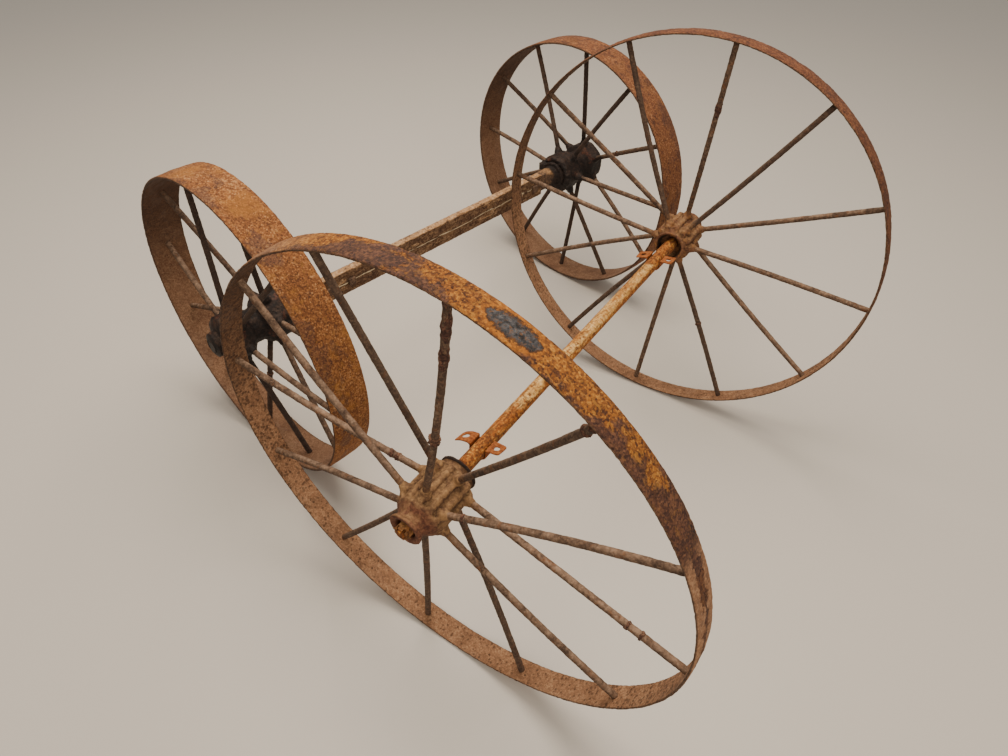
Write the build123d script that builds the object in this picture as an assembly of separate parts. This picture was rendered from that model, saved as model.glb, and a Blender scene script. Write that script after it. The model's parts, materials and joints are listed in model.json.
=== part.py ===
from build123d import *
import os
from collections import namedtuple
from math import acos, cos, radians, sin, sqrt

# Hay wagon running gear: a round bar axle with two tall narrow-tyred wheels, and a channel
# axle beam with two lower wide-tyred wheels, standing as they were parked. Millimetres and
# degrees. X is the way the wheels roll, Y lies along the bar axle, Z is up.

# Tall wheels on the bar axle
TALL_RIM_RADIUS = 508.0
TALL_RIM_WIDTH = 52.0
TALL_RIM_THICKNESS = 7.0
TALL_RIM_CROWN = 2.0
TALL_RIM_BEVEL = 1.5
TALL_SPOKE_DIAMETER = 14.0
TALL_SPOKE_ROW = 31.0

# Low wheels on the beam
LOW_RIM_RADIUS = 399.0
LOW_RIM_WIDTH = 100.0
LOW_RIM_THICKNESS = 9.0
LOW_RIM_CROWN = 2.0
LOW_RIM_BEVEL = 2.0
LOW_SPOKE_DIAMETER = 15.0
LOW_SPOKE_ROW = 46.0
LOW_SPOKE_FOOT_DIAMETER = 27.0
LOW_SPOKE_FOOT_LENGTH = 7.0

# Spokes of both kinds
SPOKES_PER_ROW = 6
SOCKET_DEPTH = 12.0
SOCKET_GAP = 0.1
RIM_SEAT_GAP = 0.1

# Cast hub of a tall wheel
TALL_HUB_BARREL_RADIUS = 42.0
TALL_HUB_BARREL_HALF = 44.0
TALL_HUB_RIDGE_TOP = 50.5
TALL_HUB_RIDGE_WIDTH = 13.0
TALL_HUB_RIDGE_DRAFT = 2.5
TALL_HUB_RIDGE_EASE = 3.5
TALL_HUB_LUMP_TOP = 53.0
TALL_HUB_LUMP_DIAMETER = 24.5
TALL_HUB_LUMP_EASE = 2.0
TALL_HUB_COLLAR_RADIUS = 45.0
TALL_HUB_COLLAR_END = 52.0
TALL_HUB_NOSE_RADIUS = 30.0
TALL_HUB_NOSE_START = 66.0
TALL_HUB_NOSE_END = 85.0
TALL_HUB_LIP_RADIUS = 34.5
TALL_HUB_LIP_LENGTH = 6.0
TALL_HUB_LIP_FLARE = 3.0
TALL_HUB_RECESS_RADIUS = 25.0
TALL_HUB_RECESS_DEPTH = 16.0
TALL_HUB_NECK_RADIUS = 34.0
TALL_HUB_NECK_SLOPE = 11.0
TALL_HUB_BELL_RADIUS = 37.5
TALL_HUB_BELL_LENGTH = 6.0
TALL_HUB_BELL_END = 68.0
TALL_HUB_BELL_WALL = 4.5
TALL_HUB_BELL_DEPTH = 24.0
TALL_HUB_BELL_TAPER = 7.0

# Cast hub of a low wheel
LOW_HUB_INNER_RADIUS = 60.0
LOW_HUB_INNER_END = 95.0
LOW_HUB_WAIST_RADIUS = 43.0
LOW_HUB_WAIST_HALF = 14.0
LOW_HUB_SLOPE = 14.0
LOW_HUB_OUTER_RADIUS = 62.0
LOW_HUB_FLAT = 3.5
LOW_HUB_SHOULDER = 80.0
LOW_HUB_NOSE_RADIUS = 44.0
LOW_HUB_NOSE_END = 100.0
LOW_HUB_RECESS_RADIUS = 31.0
LOW_HUB_RECESS_DEPTH = 28.0
LOW_SOCKET_COLLAR_RADIUS = 13.0
LOW_SOCKET_COLLAR_HEIGHT = 4.0

# Running fits and end play of every wheel
RUNNING_CLEARANCE = 0.05
END_PLAY = 0.4

# Bar axle and where its wheels stand
BAR_DIAMETER = 32.0
BAR_SPINDLE_DIAMETER = 30.0
BAR_SPINDLE_SEAT = 14.0
BAR_TRACK = 1056.0
BAR_CAMBER = 2.9
BAR_SWEEP = 1.5

# End fastening of both axles
END_WASHER_THICKNESS = 3.0
BAR_THREAD_DIAMETER = 20.0
BAR_NUT_WIDTH = 30.0
BAR_NUT_HEIGHT = 22.0
LOW_THREAD_DIAMETER = 26.0
LOW_NUT_WIDTH = 40.0
LOW_NUT_HEIGHT = 17.0
COTTER_DIAMETER = 4.0
COTTER_OVERHANG = 5.0

# Strap clips under the bar
CLIP_PLACE = 384.0
CLIP_WIDTH = 33.0
CLIP_THICKNESS = 4.0
CLIP_EAR_REACH = 47.0
CLIP_EAR_TOP = 13.0
CLIP_HOLE_SPACING = 66.0
CLIP_HOLE_DIAMETER = 11.0
CLIP_EAR_ROUND = 6.0
CLIP_GAP = 0.05

# Channel beam, its arms and where its wheels stand
BEAM_HEIGHT = 70.0
BEAM_FLANGE = 24.0
BEAM_WEB = 6.0
BEAM_FLANGE_THICKNESS = 7.0
BEAM_FACE = 20.0
BEAM_TRACK = 1228.0
BEAM_CAMBER = 1.2
BEAM_YAW = 10.6
BEAM_BACK = 646.0
BEAM_ALONG = 313.0
BEAM_END = 178.0
ARM_SPINDLE_DIAMETER = 38.0
ARM_COLLAR_RADIUS = 42.0
ARM_COLLAR_THICKNESS = 12.0
ARM_NECK_RADIUS = 31.0
ARM_TONGUE_LENGTH = 150.0
ARM_TONGUE_DEPTH = 28.0
ARM_TONGUE_GAP = 1.0
ARM_BOLT_DIAMETER = 12.0
ARM_BOLT_CLEARANCE = 0.5
ARM_BOLT_PLACES = (38.0, 112.0)
ARM_BOLT_HEAD_WIDTH = 20.0
ARM_BOLT_HEAD_HEIGHT = 8.0

# Rims of both kinds
RimSize = namedtuple("RimSize", "radius width thickness crown bevel")
TALL_RIM = RimSize(TALL_RIM_RADIUS, TALL_RIM_WIDTH, TALL_RIM_THICKNESS, TALL_RIM_CROWN, TALL_RIM_BEVEL)
LOW_RIM = RimSize(LOW_RIM_RADIUS, LOW_RIM_WIDTH, LOW_RIM_THICKNESS, LOW_RIM_CROWN, LOW_RIM_BEVEL)

# How each axle's wheels stand: track, downward cant and rearward turn of its spindles
AxleSize = namedtuple("AxleSize", "rim track camber sweep")
AXLES = {
    "bar": AxleSize(TALL_RIM, BAR_TRACK, BAR_CAMBER, BAR_SWEEP),
    "beam": AxleSize(LOW_RIM, BEAM_TRACK, BEAM_CAMBER, 0.0),
}

# Wheels: name, axle, end (-1 near, +1 far), angle of the first outer-row spoke
WheelRow = namedtuple("WheelRow", "name axle end first_spoke")
WHEELS = (
    WheelRow("tall_near", "bar", -1, 21.7),
    WheelRow("tall_far", "bar", 1, 34.4),
    WheelRow("low_near", "beam", -1, -10.2),
    WheelRow("low_far", "beam", 1, 31.5),
)


def crown_arc(size):
    """Radius of the arc that crowns a tread."""
    half = size.width / 2 - size.bevel
    return (half ** 2 + size.crown ** 2) / (2 * size.crown)


def wheel_height(axle):
    """Height of an axle's leaning wheels' centres, when their crowned treads rest on the ground."""
    size = AXLES[axle].rim
    lean = radians(AXLES[axle].camber)
    arc = crown_arc(size)
    place = min(size.width / 2 - size.bevel, arc * sin(lean))
    return (size.radius - arc + sqrt(arc ** 2 - place ** 2)) * cos(lean) + place * sin(lean)


def axle_line(axle):
    """Middle of an axle on the ground, and the level direction towards its far end."""
    if axle == "bar":
        return Vector(0, 0, 0), Vector(0, 1, 0)
    turn = radians(BEAM_YAW)
    return Vector(-BEAM_BACK, BEAM_ALONG, 0), Vector(sin(turn), cos(turn), 0)


def wheel_plane(row):
    """Plane at a wheel's centre: its z points outboard along the hub, its y points up."""
    middle, along = axle_line(row.axle)
    up = Vector(0, 0, 1)
    lean = radians(AXLES[row.axle].camber)
    sweep = radians(AXLES[row.axle].sweep)
    centre = middle + along * (row.end * AXLES[row.axle].track / 2) + up * wheel_height(row.axle)
    level = along * (row.end * cos(sweep)) + up.cross(along) * sin(sweep)
    outboard = level * cos(lean) - up * sin(lean)
    return Plane(origin=centre, x_dir=up.cross(outboard), z_dir=outboard)


def turned(points):
    """Solid of revolution about z from (radius, z) points."""
    face = make_face(Plane.XZ * Polyline(*points, close=True))
    return revolve(face, Axis.Z)


def rim(size):
    """Tyre band with a crowned tread and bevelled edges."""
    inside = size.radius - size.thickness
    edge = size.radius - size.crown
    half = size.width / 2
    shoulder = half - size.bevel
    tread = ThreePointArc((edge, shoulder), (size.radius, 0), (edge, -shoulder))
    rest = Polyline((edge, -shoulder), (edge - size.bevel, -half), (inside, -half),
                    (inside, half), (edge - size.bevel, half), (edge, shoulder))
    return revolve(make_face(Plane.XZ * (tread + rest)), Axis.Z)


def spoke_rows(first_spoke):
    """Angles of the outer row and of the inner row, which stands half a step further on."""
    step = 360 / SPOKES_PER_ROW
    outer = [first_spoke + step * i for i in range(SPOKES_PER_ROW)]
    return outer, [angle + step / 2 for angle in outer]


def rod(radius, start_radius, end_radius, row_z, grow=0.0):
    """Round rod in the XZ plane from the hub, at row_z, to the rim's centre line."""
    start = Vector(start_radius, 0, row_z)
    way = Vector(end_radius, 0, 0) - start
    plane = Plane(origin=start - way.normalized() * grow, z_dir=way)
    return plane * Cylinder(radius, way.length + grow, align=(Align.CENTER, Align.CENTER, Align.MIN))


def spokes(angles, diameter, top_radius, row_z, rim_inside, foot_diameter=0.0, foot_length=0.0):
    """Row of rods that stand in their sockets and meet the inside of the rim."""
    seat = Cylinder(rim_inside - RIM_SEAT_GAP, 4 * abs(row_z))
    one = rod(diameter / 2, top_radius - SOCKET_DEPTH, rim_inside + diameter, row_z)
    if foot_diameter:
        foot = Pos(rim_inside, 0, 0) * Rot(0, 90, 0) * Cylinder(foot_diameter / 2, 2 * foot_length)
        one = one + foot
    one = one & seat
    return [Rot(0, 0, angle) * one for angle in angles]


def socket_tools(angles, diameter, top_radius, row_z, rim_inside):
    """Rods that cut the sockets of one row."""
    one = rod(diameter / 2 + SOCKET_GAP, top_radius - SOCKET_DEPTH, rim_inside, row_z, SOCKET_GAP)
    return [Rot(0, 0, angle) * one for angle in angles]


def radial(radius, top, ease=0.0):
    """Round stub along x from the axis to a top radius, with an eased top edge."""
    stub = Rot(0, 90, 0) * Cylinder(radius, top, align=(Align.CENTER, Align.CENTER, Align.MIN))
    if ease:
        stub = chamfer(stub.faces().sort_by(Axis.X)[-1].edges(), ease)
    return stub


def tall_hub_ridge():
    """One drafted ridge along the barrel, whose sloped ends sink into the casting."""
    root = TALL_HUB_NECK_RADIUS
    top = TALL_HUB_RIDGE_TOP
    half_top = TALL_HUB_RIDGE_WIDTH / 2
    half_root = half_top + TALL_HUB_RIDGE_DRAFT
    section = make_face(Polyline(
        (root, -half_root), (top, -half_top), (top, half_top), (root, half_root), close=True))
    section = chamfer(section.vertices().sort_by(Axis.X)[-2:], TALL_HUB_RIDGE_EASE)
    back = -TALL_HUB_BARREL_HALF - TALL_HUB_NECK_SLOPE + 2
    front = TALL_HUB_COLLAR_END - 1
    envelope = turned([
        (0, back),
        (root - 3, back),
        (top + 2, -TALL_HUB_BARREL_HALF),
        (top + 2, TALL_HUB_BARREL_HALF),
        (TALL_HUB_COLLAR_RADIUS - 2, front),
        (0, front),
    ])
    return extrude(section, 2 * TALL_HUB_BELL_END, both=True) & envelope


def tall_hub(outer_angles, inner_angles):
    """Cast hub with a ridge and a lump for each spoke, a lipped nose and an open bell behind."""
    bore = BAR_SPINDLE_DIAMETER / 2 + RUNNING_CLEARANCE
    bell_inside = TALL_HUB_BELL_RADIUS - TALL_HUB_BELL_WALL
    bell_floor = -TALL_HUB_BELL_END + TALL_HUB_BELL_DEPTH
    bell_top = -TALL_HUB_BELL_END + TALL_HUB_BELL_LENGTH
    lip = TALL_HUB_NOSE_END - TALL_HUB_LIP_LENGTH
    recess_floor = TALL_HUB_NOSE_END - TALL_HUB_RECESS_DEPTH
    body = turned([
        (bore, bell_floor),
        (bell_inside - TALL_HUB_BELL_TAPER, bell_floor),
        (bell_inside, -TALL_HUB_BELL_END),
        (TALL_HUB_BELL_RADIUS, -TALL_HUB_BELL_END),
        (TALL_HUB_BELL_RADIUS, bell_top),
        (TALL_HUB_NECK_RADIUS, bell_top + 2),
        (TALL_HUB_NECK_RADIUS, -TALL_HUB_BARREL_HALF - TALL_HUB_NECK_SLOPE),
        (TALL_HUB_BARREL_RADIUS, -TALL_HUB_BARREL_HALF),
        (TALL_HUB_BARREL_RADIUS, TALL_HUB_BARREL_HALF),
        (TALL_HUB_COLLAR_RADIUS, (TALL_HUB_BARREL_HALF + TALL_HUB_COLLAR_END) / 2),
        (TALL_HUB_COLLAR_RADIUS, TALL_HUB_COLLAR_END),
        (TALL_HUB_NOSE_RADIUS, TALL_HUB_NOSE_START),
        (TALL_HUB_NOSE_RADIUS, lip - TALL_HUB_LIP_FLARE),
        (TALL_HUB_LIP_RADIUS, lip),
        (TALL_HUB_LIP_RADIUS, TALL_HUB_NOSE_END),
        (TALL_HUB_RECESS_RADIUS, TALL_HUB_NOSE_END),
        (TALL_HUB_RECESS_RADIUS, recess_floor),
        (bore, recess_floor),
    ])
    ridge = tall_hub_ridge()
    lump = radial(TALL_HUB_LUMP_DIAMETER / 2, TALL_HUB_LUMP_TOP, TALL_HUB_LUMP_EASE)
    lump -= Cylinder(TALL_HUB_NECK_RADIUS, 2 * TALL_HUB_BELL_END)
    rim_inside = TALL_RIM.radius - TALL_RIM.thickness
    forms = []
    sockets = []
    for angles, row_z in ((outer_angles, TALL_SPOKE_ROW), (inner_angles, -TALL_SPOKE_ROW)):
        forms += [Rot(0, 0, angle) * ridge for angle in angles]
        forms += [Rot(0, 0, angle) * Pos(0, 0, row_z) * lump for angle in angles]
        sockets += socket_tools(angles, TALL_SPOKE_DIAMETER, TALL_HUB_LUMP_TOP, row_z, rim_inside)
    return body.fuse(*forms).cut(*sockets)


def low_hub(outer_angles, inner_angles):
    """Cast hub with two drums, faceted between their spokes, and a waist between them."""
    bore = ARM_SPINDLE_DIAMETER / 2 + RUNNING_CLEARANCE
    body = turned([
        (bore, -LOW_HUB_INNER_END),
        (LOW_HUB_INNER_RADIUS - 9, -LOW_HUB_INNER_END),
        (LOW_HUB_INNER_RADIUS, -LOW_HUB_INNER_END + 9),
        (LOW_HUB_INNER_RADIUS, -LOW_HUB_WAIST_HALF - LOW_HUB_SLOPE),
        (LOW_HUB_WAIST_RADIUS, -LOW_HUB_WAIST_HALF),
        (LOW_HUB_WAIST_RADIUS, LOW_HUB_WAIST_HALF),
        (LOW_HUB_OUTER_RADIUS, LOW_HUB_WAIST_HALF + LOW_HUB_SLOPE),
        (LOW_HUB_OUTER_RADIUS, LOW_HUB_SHOULDER),
        (LOW_HUB_NOSE_RADIUS, LOW_HUB_SHOULDER + 9),
        (LOW_HUB_NOSE_RADIUS, LOW_HUB_NOSE_END - 3),
        (LOW_HUB_NOSE_RADIUS - 3, LOW_HUB_NOSE_END),
        (LOW_HUB_RECESS_RADIUS, LOW_HUB_NOSE_END),
        (LOW_HUB_RECESS_RADIUS, LOW_HUB_NOSE_END - LOW_HUB_RECESS_DEPTH),
        (bore, LOW_HUB_NOSE_END - LOW_HUB_RECESS_DEPTH),
    ])
    rim_inside = LOW_RIM.radius - LOW_RIM.thickness
    between = 180 / SPOKES_PER_ROW
    flats = []
    collars = []
    sockets = []
    for angles, drum_radius, side in ((outer_angles, LOW_HUB_OUTER_RADIUS, 1),
                                      (inner_angles, LOW_HUB_INNER_RADIUS, -1)):
        away = drum_radius - LOW_HUB_FLAT + LOW_HUB_WAIST_RADIUS
        slab = Pos(away, 0, side * LOW_HUB_NOSE_END) * Box(
            2 * LOW_HUB_WAIST_RADIUS, 2 * drum_radius, 2 * LOW_HUB_NOSE_END)
        flats += [Rot(0, 0, angle + between) * slab for angle in angles]
        top = drum_radius + LOW_SOCKET_COLLAR_HEIGHT
        row_z = side * LOW_SPOKE_ROW
        collar = radial(LOW_SOCKET_COLLAR_RADIUS, top) - Cylinder(
            LOW_HUB_WAIST_RADIUS, 2 * LOW_HUB_NOSE_END)
        collars += [Rot(0, 0, angle) * Pos(0, 0, row_z) * collar for angle in angles]
        sockets += socket_tools(angles, LOW_SPOKE_DIAMETER, top, row_z, rim_inside)
    return body.cut(*flats).fuse(*collars).cut(*sockets)


def end_fastening(face_z, thread_diameter, spindle_diameter, nut_width, nut_height):
    """Washer, castle nut and cotter on an axle end, with the thread that carries them."""
    washer_radius = nut_width / 2 + 3
    washer_z = face_z + END_PLAY
    nut_z = washer_z + END_WASHER_THICKNESS
    bottom = (Align.CENTER, Align.CENTER, Align.MIN)
    hole = thread_diameter / 2 + RUNNING_CLEARANCE
    washer = Pos(0, 0, washer_z) * (
        Cylinder(washer_radius, END_WASHER_THICKNESS, align=bottom)
        - Cylinder(hole, END_WASHER_THICKNESS, align=bottom))
    nut = extrude(RegularPolygon(nut_width / 2, 6, major_radius=False), nut_height)
    nut = nut - Cylinder(hole, nut_height, align=bottom)
    slot_depth = 1.6 * COTTER_DIAMETER
    slot = Pos(0, 0, nut_height) * Box(2 * nut_width, COTTER_DIAMETER + 1, 2 * slot_depth)
    nut = Pos(0, 0, nut_z) * nut.cut(*[Rot(0, 0, turn) * slot for turn in (0, 60, 120)])
    pin_z = nut_z + nut_height - slot_depth / 2
    pin_length = nut_width + 2 * COTTER_OVERHANG
    pin = Pos(0, 0, pin_z) * Rot(0, 90, 0) * Cylinder(COTTER_DIAMETER / 2, pin_length)
    thread_end = nut_z + nut_height + 3
    thread = Pos(0, 0, washer_z) * Cylinder(
        thread_diameter / 2, thread_end - washer_z, align=bottom)
    hole_tool = Pos(0, 0, pin_z) * Rot(0, 90, 0) * Cylinder(COTTER_DIAMETER / 2 + 0.1, nut_width)
    return washer, nut, pin, thread - hole_tool


def spindle(start_z, end_z, diameter):
    """Plain bearing length of an axle end."""
    length = end_z - start_z
    return Pos(0, 0, start_z) * Cylinder(diameter / 2, length, align=(Align.CENTER, Align.CENTER, Align.MIN))


def bar_clip():
    """Strap that hooks under the bar, with a flat bored ear on each side."""
    inner = BAR_DIAMETER / 2 + CLIP_GAP
    outer = inner + CLIP_THICKNESS
    ear_bottom = CLIP_EAR_TOP - CLIP_THICKNESS
    hoop = Circle(outer) + Pos(0, CLIP_EAR_TOP / 2) * Rectangle(2 * outer, CLIP_EAR_TOP)
    ears = Pos(0, CLIP_EAR_TOP - CLIP_THICKNESS / 2) * Rectangle(2 * CLIP_EAR_REACH, CLIP_THICKNESS)
    lower = Pos(0, -outer / 2) * Rectangle(2 * outer, outer)
    keep = lower + Pos(0, CLIP_EAR_TOP / 2) * Rectangle(2 * CLIP_EAR_REACH, CLIP_EAR_TOP)
    gap = Circle(inner) + Pos(0, CLIP_EAR_TOP) * Rectangle(2 * inner, 2 * CLIP_EAR_TOP)
    section = ((hoop + ears) & keep) - gap
    strap = extrude(Plane.XZ * section, CLIP_WIDTH / 2, both=True)
    corners = strap.edges().filter_by(Axis.Z).filter_by(
        lambda e: abs(abs(e.center().X) - CLIP_EAR_REACH) < 0.01)
    strap = fillet(corners, CLIP_EAR_ROUND)
    holes = [
        Pos(side * CLIP_HOLE_SPACING / 2, 0, ear_bottom) * Cylinder(
            CLIP_HOLE_DIAMETER / 2, 4 * CLIP_THICKNESS) for side in (-1, 1)]
    return strap.cut(*holes)


def bar_shoulder():
    """Place on a spindle's axis where the level bar ends, clear of the bell's floor."""
    floor = -TALL_HUB_BELL_END + TALL_HUB_BELL_DEPTH
    bend = acos(cos(radians(BAR_CAMBER)) * cos(radians(BAR_SWEEP)))
    return floor - END_PLAY - BAR_DIAMETER / 2 * sin(bend)


def bar_end(row):
    """Point where the level bar meets a spindle's axis."""
    plane = wheel_plane(row)
    return plane.origin + plane.z_dir * bar_shoulder()


def beam_height():
    """Height of the beam's centre line, which meets the arms' axes where the beam ends."""
    return wheel_height("beam") + BEAM_END * sin(radians(BEAM_CAMBER))


def beam_plane():
    """Plane at the beam's middle: z along the beam to its far end, y up, x to its rear."""
    middle, along = axle_line("beam")
    return Plane(origin=middle + Vector(0, 0, beam_height()),
                 x_dir=Vector(0, 0, 1).cross(along), z_dir=along)


def build_bar_axle(planes, nodes):
    """Level bar with a canted spindle at each end, and its end fastenings."""
    shoulder = bar_shoulder()
    near, far = [bar_end(row) for row in WHEELS if row.axle == "bar"]
    middle = (near + far) / 2
    bar = Plane(origin=middle, z_dir=far - near) * Cylinder(BAR_DIAMETER / 2, (far - near).length)
    nose_face = TALL_HUB_NOSE_END - TALL_HUB_RECESS_DEPTH
    for name in ("near", "far"):
        plane = planes["tall_" + name]
        washer, nut, pin, thread = end_fastening(
            nose_face, BAR_THREAD_DIAMETER, BAR_SPINDLE_DIAMETER, BAR_NUT_WIDTH, BAR_NUT_HEIGHT)
        arm = spindle(shoulder - BAR_SPINDLE_SEAT, nose_face + END_PLAY, BAR_SPINDLE_DIAMETER)
        bar = bar + plane * arm + plane * thread
        nodes["bar_washer_" + name] = plane * washer
        nodes["bar_nut_" + name] = plane * nut
        nodes["bar_cotter_" + name] = plane * pin
    nodes["bar_axle"] = bar
    clip = bar_clip()
    nodes["clip_near"] = Location(middle) * Pos(0, -CLIP_PLACE, 0) * clip
    nodes["clip_far"] = Location(middle) * Pos(0, CLIP_PLACE, 0) * clip


def arm_bolt_frame(end, place):
    """Axis of one arm bolt, level across the beam, at a place from the beam's end."""
    half = BEAM_TRACK / 2 - BEAM_END
    return Pos(0, 0, end * (half - place)) * Rot(0, 90, 0)


def build_beam(planes, nodes):
    """Rolled channel, its two forged arms, the bolts that hold them and the end fastenings."""
    frame = beam_plane()
    half = BEAM_TRACK / 2 - BEAM_END
    tall = BEAM_HEIGHT - 2 * BEAM_FLANGE_THICKNESS
    section = Pos(-BEAM_FACE + BEAM_FLANGE / 2, 0) * Rectangle(BEAM_FLANGE, BEAM_HEIGHT)
    section -= Pos(-BEAM_FACE + BEAM_WEB + BEAM_FLANGE / 2, 0) * Rectangle(BEAM_FLANGE, tall)
    channel = extrude(section, half, both=True)
    hole_radius = ARM_BOLT_DIAMETER / 2 + ARM_BOLT_CLEARANCE
    web_back = -BEAM_FACE + BEAM_WEB
    tongue_tall = tall - 2 * ARM_TONGUE_GAP
    nose_face = LOW_HUB_NOSE_END - LOW_HUB_RECESS_DEPTH
    collar_face = -LOW_HUB_INNER_END - END_PLAY
    for name, end in (("near", -1), ("far", 1)):
        plane = planes["low_" + name]
        centre = web_back + ARM_TONGUE_DEPTH / 2
        tongue = Pos(centre, 0, end * (half - ARM_TONGUE_LENGTH / 2)) * Box(
            ARM_TONGUE_DEPTH, tongue_tall, ARM_TONGUE_LENGTH)
        holes = [arm_bolt_frame(end, place) * Cylinder(hole_radius, 4 * BEAM_HEIGHT)
                 for place in ARM_BOLT_PLACES]
        channel = channel.cut(*holes)
        root = frame * (Pos(centre, 0, end * half) * Rectangle(ARM_TONGUE_DEPTH, tongue_tall))
        tip = plane * (Pos(0, 0, collar_face - ARM_COLLAR_THICKNESS) * Circle(ARM_NECK_RADIUS))
        neck = loft([root.faces()[0], tip.faces()[0]])
        collar = plane * spindle(collar_face - ARM_COLLAR_THICKNESS, collar_face, 2 * ARM_COLLAR_RADIUS)
        washer, nut, pin, thread = end_fastening(
            nose_face, LOW_THREAD_DIAMETER, ARM_SPINDLE_DIAMETER, LOW_NUT_WIDTH, LOW_NUT_HEIGHT)
        arm = plane * spindle(collar_face, nose_face + END_PLAY, ARM_SPINDLE_DIAMETER)
        nodes["arm_" + name] = (frame * tongue.cut(*holes)).fuse(neck, collar, arm, plane * thread)
        bolts = []
        for place in ARM_BOLT_PLACES:
            axis = arm_bolt_frame(end, place)
            low = (Align.CENTER, Align.CENTER, Align.MAX)
            high = (Align.CENTER, Align.CENTER, Align.MIN)
            back = web_back + ARM_TONGUE_DEPTH
            square = (ARM_BOLT_HEAD_WIDTH, ARM_BOLT_HEAD_WIDTH, ARM_BOLT_HEAD_HEIGHT)
            shank = Pos(0, 0, -BEAM_FACE) * Cylinder(
                ARM_BOLT_DIAMETER / 2, back + BEAM_FACE, align=high)
            head = Pos(0, 0, -BEAM_FACE) * Box(*square, align=low)
            nut_block = Pos(0, 0, back) * Box(*square, align=high)
            bolts.append(frame * (axis * (shank + head + nut_block)))
        nodes["arm_bolts_" + name] = bolts
        nodes["arm_washer_" + name] = plane * washer
        nodes["arm_nut_" + name] = plane * nut
        nodes["arm_cotter_" + name] = plane * pin
    nodes["beam"] = frame * channel


def build_wheel(row, plane, nodes):
    """Rim, hub and the two rows of spokes of one wheel."""
    outer, inner = spoke_rows(row.first_spoke)
    size = AXLES[row.axle].rim
    rim_inside = size.radius - size.thickness
    if row.axle == "bar":
        hub = tall_hub(outer, inner)
        common = (TALL_SPOKE_DIAMETER, TALL_HUB_LUMP_TOP)
        out_row = spokes(outer, *common, TALL_SPOKE_ROW, rim_inside)
        in_row = spokes(inner, *common, -TALL_SPOKE_ROW, rim_inside)
    else:
        hub = low_hub(outer, inner)
        foot = (LOW_SPOKE_FOOT_DIAMETER, LOW_SPOKE_FOOT_LENGTH)
        top = LOW_HUB_OUTER_RADIUS + LOW_SOCKET_COLLAR_HEIGHT
        out_row = spokes(outer, LOW_SPOKE_DIAMETER, top, LOW_SPOKE_ROW, rim_inside, *foot)
        top = LOW_HUB_INNER_RADIUS + LOW_SOCKET_COLLAR_HEIGHT
        in_row = spokes(inner, LOW_SPOKE_DIAMETER, top, -LOW_SPOKE_ROW, rim_inside, *foot)
    nodes[row.name + "_rim"] = plane * rim(size)
    nodes[row.name + "_hub"] = plane * hub
    nodes[row.name + "_spokes_outer"] = [plane * one for one in out_row]
    nodes[row.name + "_spokes_inner"] = [plane * one for one in in_row]


def solids_of(item):
    """Every solid of a node, which is one shape or a list of them."""
    shapes = item if isinstance(item, list) else [item]
    return [solid for shape in shapes for solid in shape.solids()]


def ground_centre(nodes):
    """Centre of the whole part's footprint."""
    boxes = [solid.bounding_box() for item in nodes.values() for solid in solids_of(item)]
    middle_x = (min(b.min.X for b in boxes) + max(b.max.X for b in boxes)) / 2
    middle_y = (min(b.min.Y for b in boxes) + max(b.max.Y for b in boxes)) / 2
    return Vector(middle_x, middle_y, 0)


def main():
    planes = {row.name: wheel_plane(row) for row in WHEELS}
    nodes = {}
    for row in WHEELS:
        build_wheel(row, planes[row.name], nodes)
    build_bar_axle(planes, nodes)
    build_beam(planes, nodes)
    centre = ground_centre(nodes)
    print("footprint centre", centre.X, centre.Y)
    os.makedirs("parts", exist_ok=True)
    for name, item in nodes.items():
        solids = [Location(-centre) * solid for solid in solids_of(item)]
        export_step(Compound(children=solids), "parts/" + name + ".step")


main()
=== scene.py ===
import json
from collections import namedtuple
from math import atan2, cos, pi, radians, sin

import bpy
import numpy as np
from bpy.props import FloatProperty, FloatVectorProperty, IntProperty, PointerProperty
from mathutils import Matrix, Vector


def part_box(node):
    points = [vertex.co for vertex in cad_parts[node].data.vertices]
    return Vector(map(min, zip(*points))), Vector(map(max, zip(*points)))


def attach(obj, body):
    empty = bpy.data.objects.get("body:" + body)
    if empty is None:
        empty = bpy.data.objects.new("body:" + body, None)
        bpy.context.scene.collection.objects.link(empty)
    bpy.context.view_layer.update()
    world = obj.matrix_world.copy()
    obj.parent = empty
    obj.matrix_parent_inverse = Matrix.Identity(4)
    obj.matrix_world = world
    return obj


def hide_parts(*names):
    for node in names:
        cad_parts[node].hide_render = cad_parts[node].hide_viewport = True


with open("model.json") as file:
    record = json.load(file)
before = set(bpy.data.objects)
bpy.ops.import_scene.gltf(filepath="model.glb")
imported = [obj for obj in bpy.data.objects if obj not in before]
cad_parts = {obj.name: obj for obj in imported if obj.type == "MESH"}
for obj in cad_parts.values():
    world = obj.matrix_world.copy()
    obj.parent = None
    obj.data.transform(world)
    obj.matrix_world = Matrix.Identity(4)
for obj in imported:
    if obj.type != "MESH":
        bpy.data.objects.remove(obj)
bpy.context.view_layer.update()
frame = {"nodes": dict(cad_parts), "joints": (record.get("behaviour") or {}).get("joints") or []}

bl_info = {
    "name": "Hay Wagon Running Gear",
    "version": (1, 0, 0),
    "blender": (4, 5, 0),
    "location": "View3D > Sidebar > Wagon",
    "description": "Dresses two rusty wagon axle sets with weathered tyres, spokes, hubs, bar and beam",
    "category": "Object",
}

# Wheels: name, axle, end (-1 near, +1 far), angle of the first outer-row spoke, seed of its wear
WheelRow = namedtuple("WheelRow", "name axle end first_spoke seed")
WHEELS = (
    WheelRow("tall_near", "bar", -1, 21.7, 3),
    WheelRow("tall_far", "bar", 1, 34.4, 11),
    WheelRow("low_near", "beam", -1, -10.2, 23),
    WheelRow("low_far", "beam", 1, 31.5, 37),
)

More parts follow.
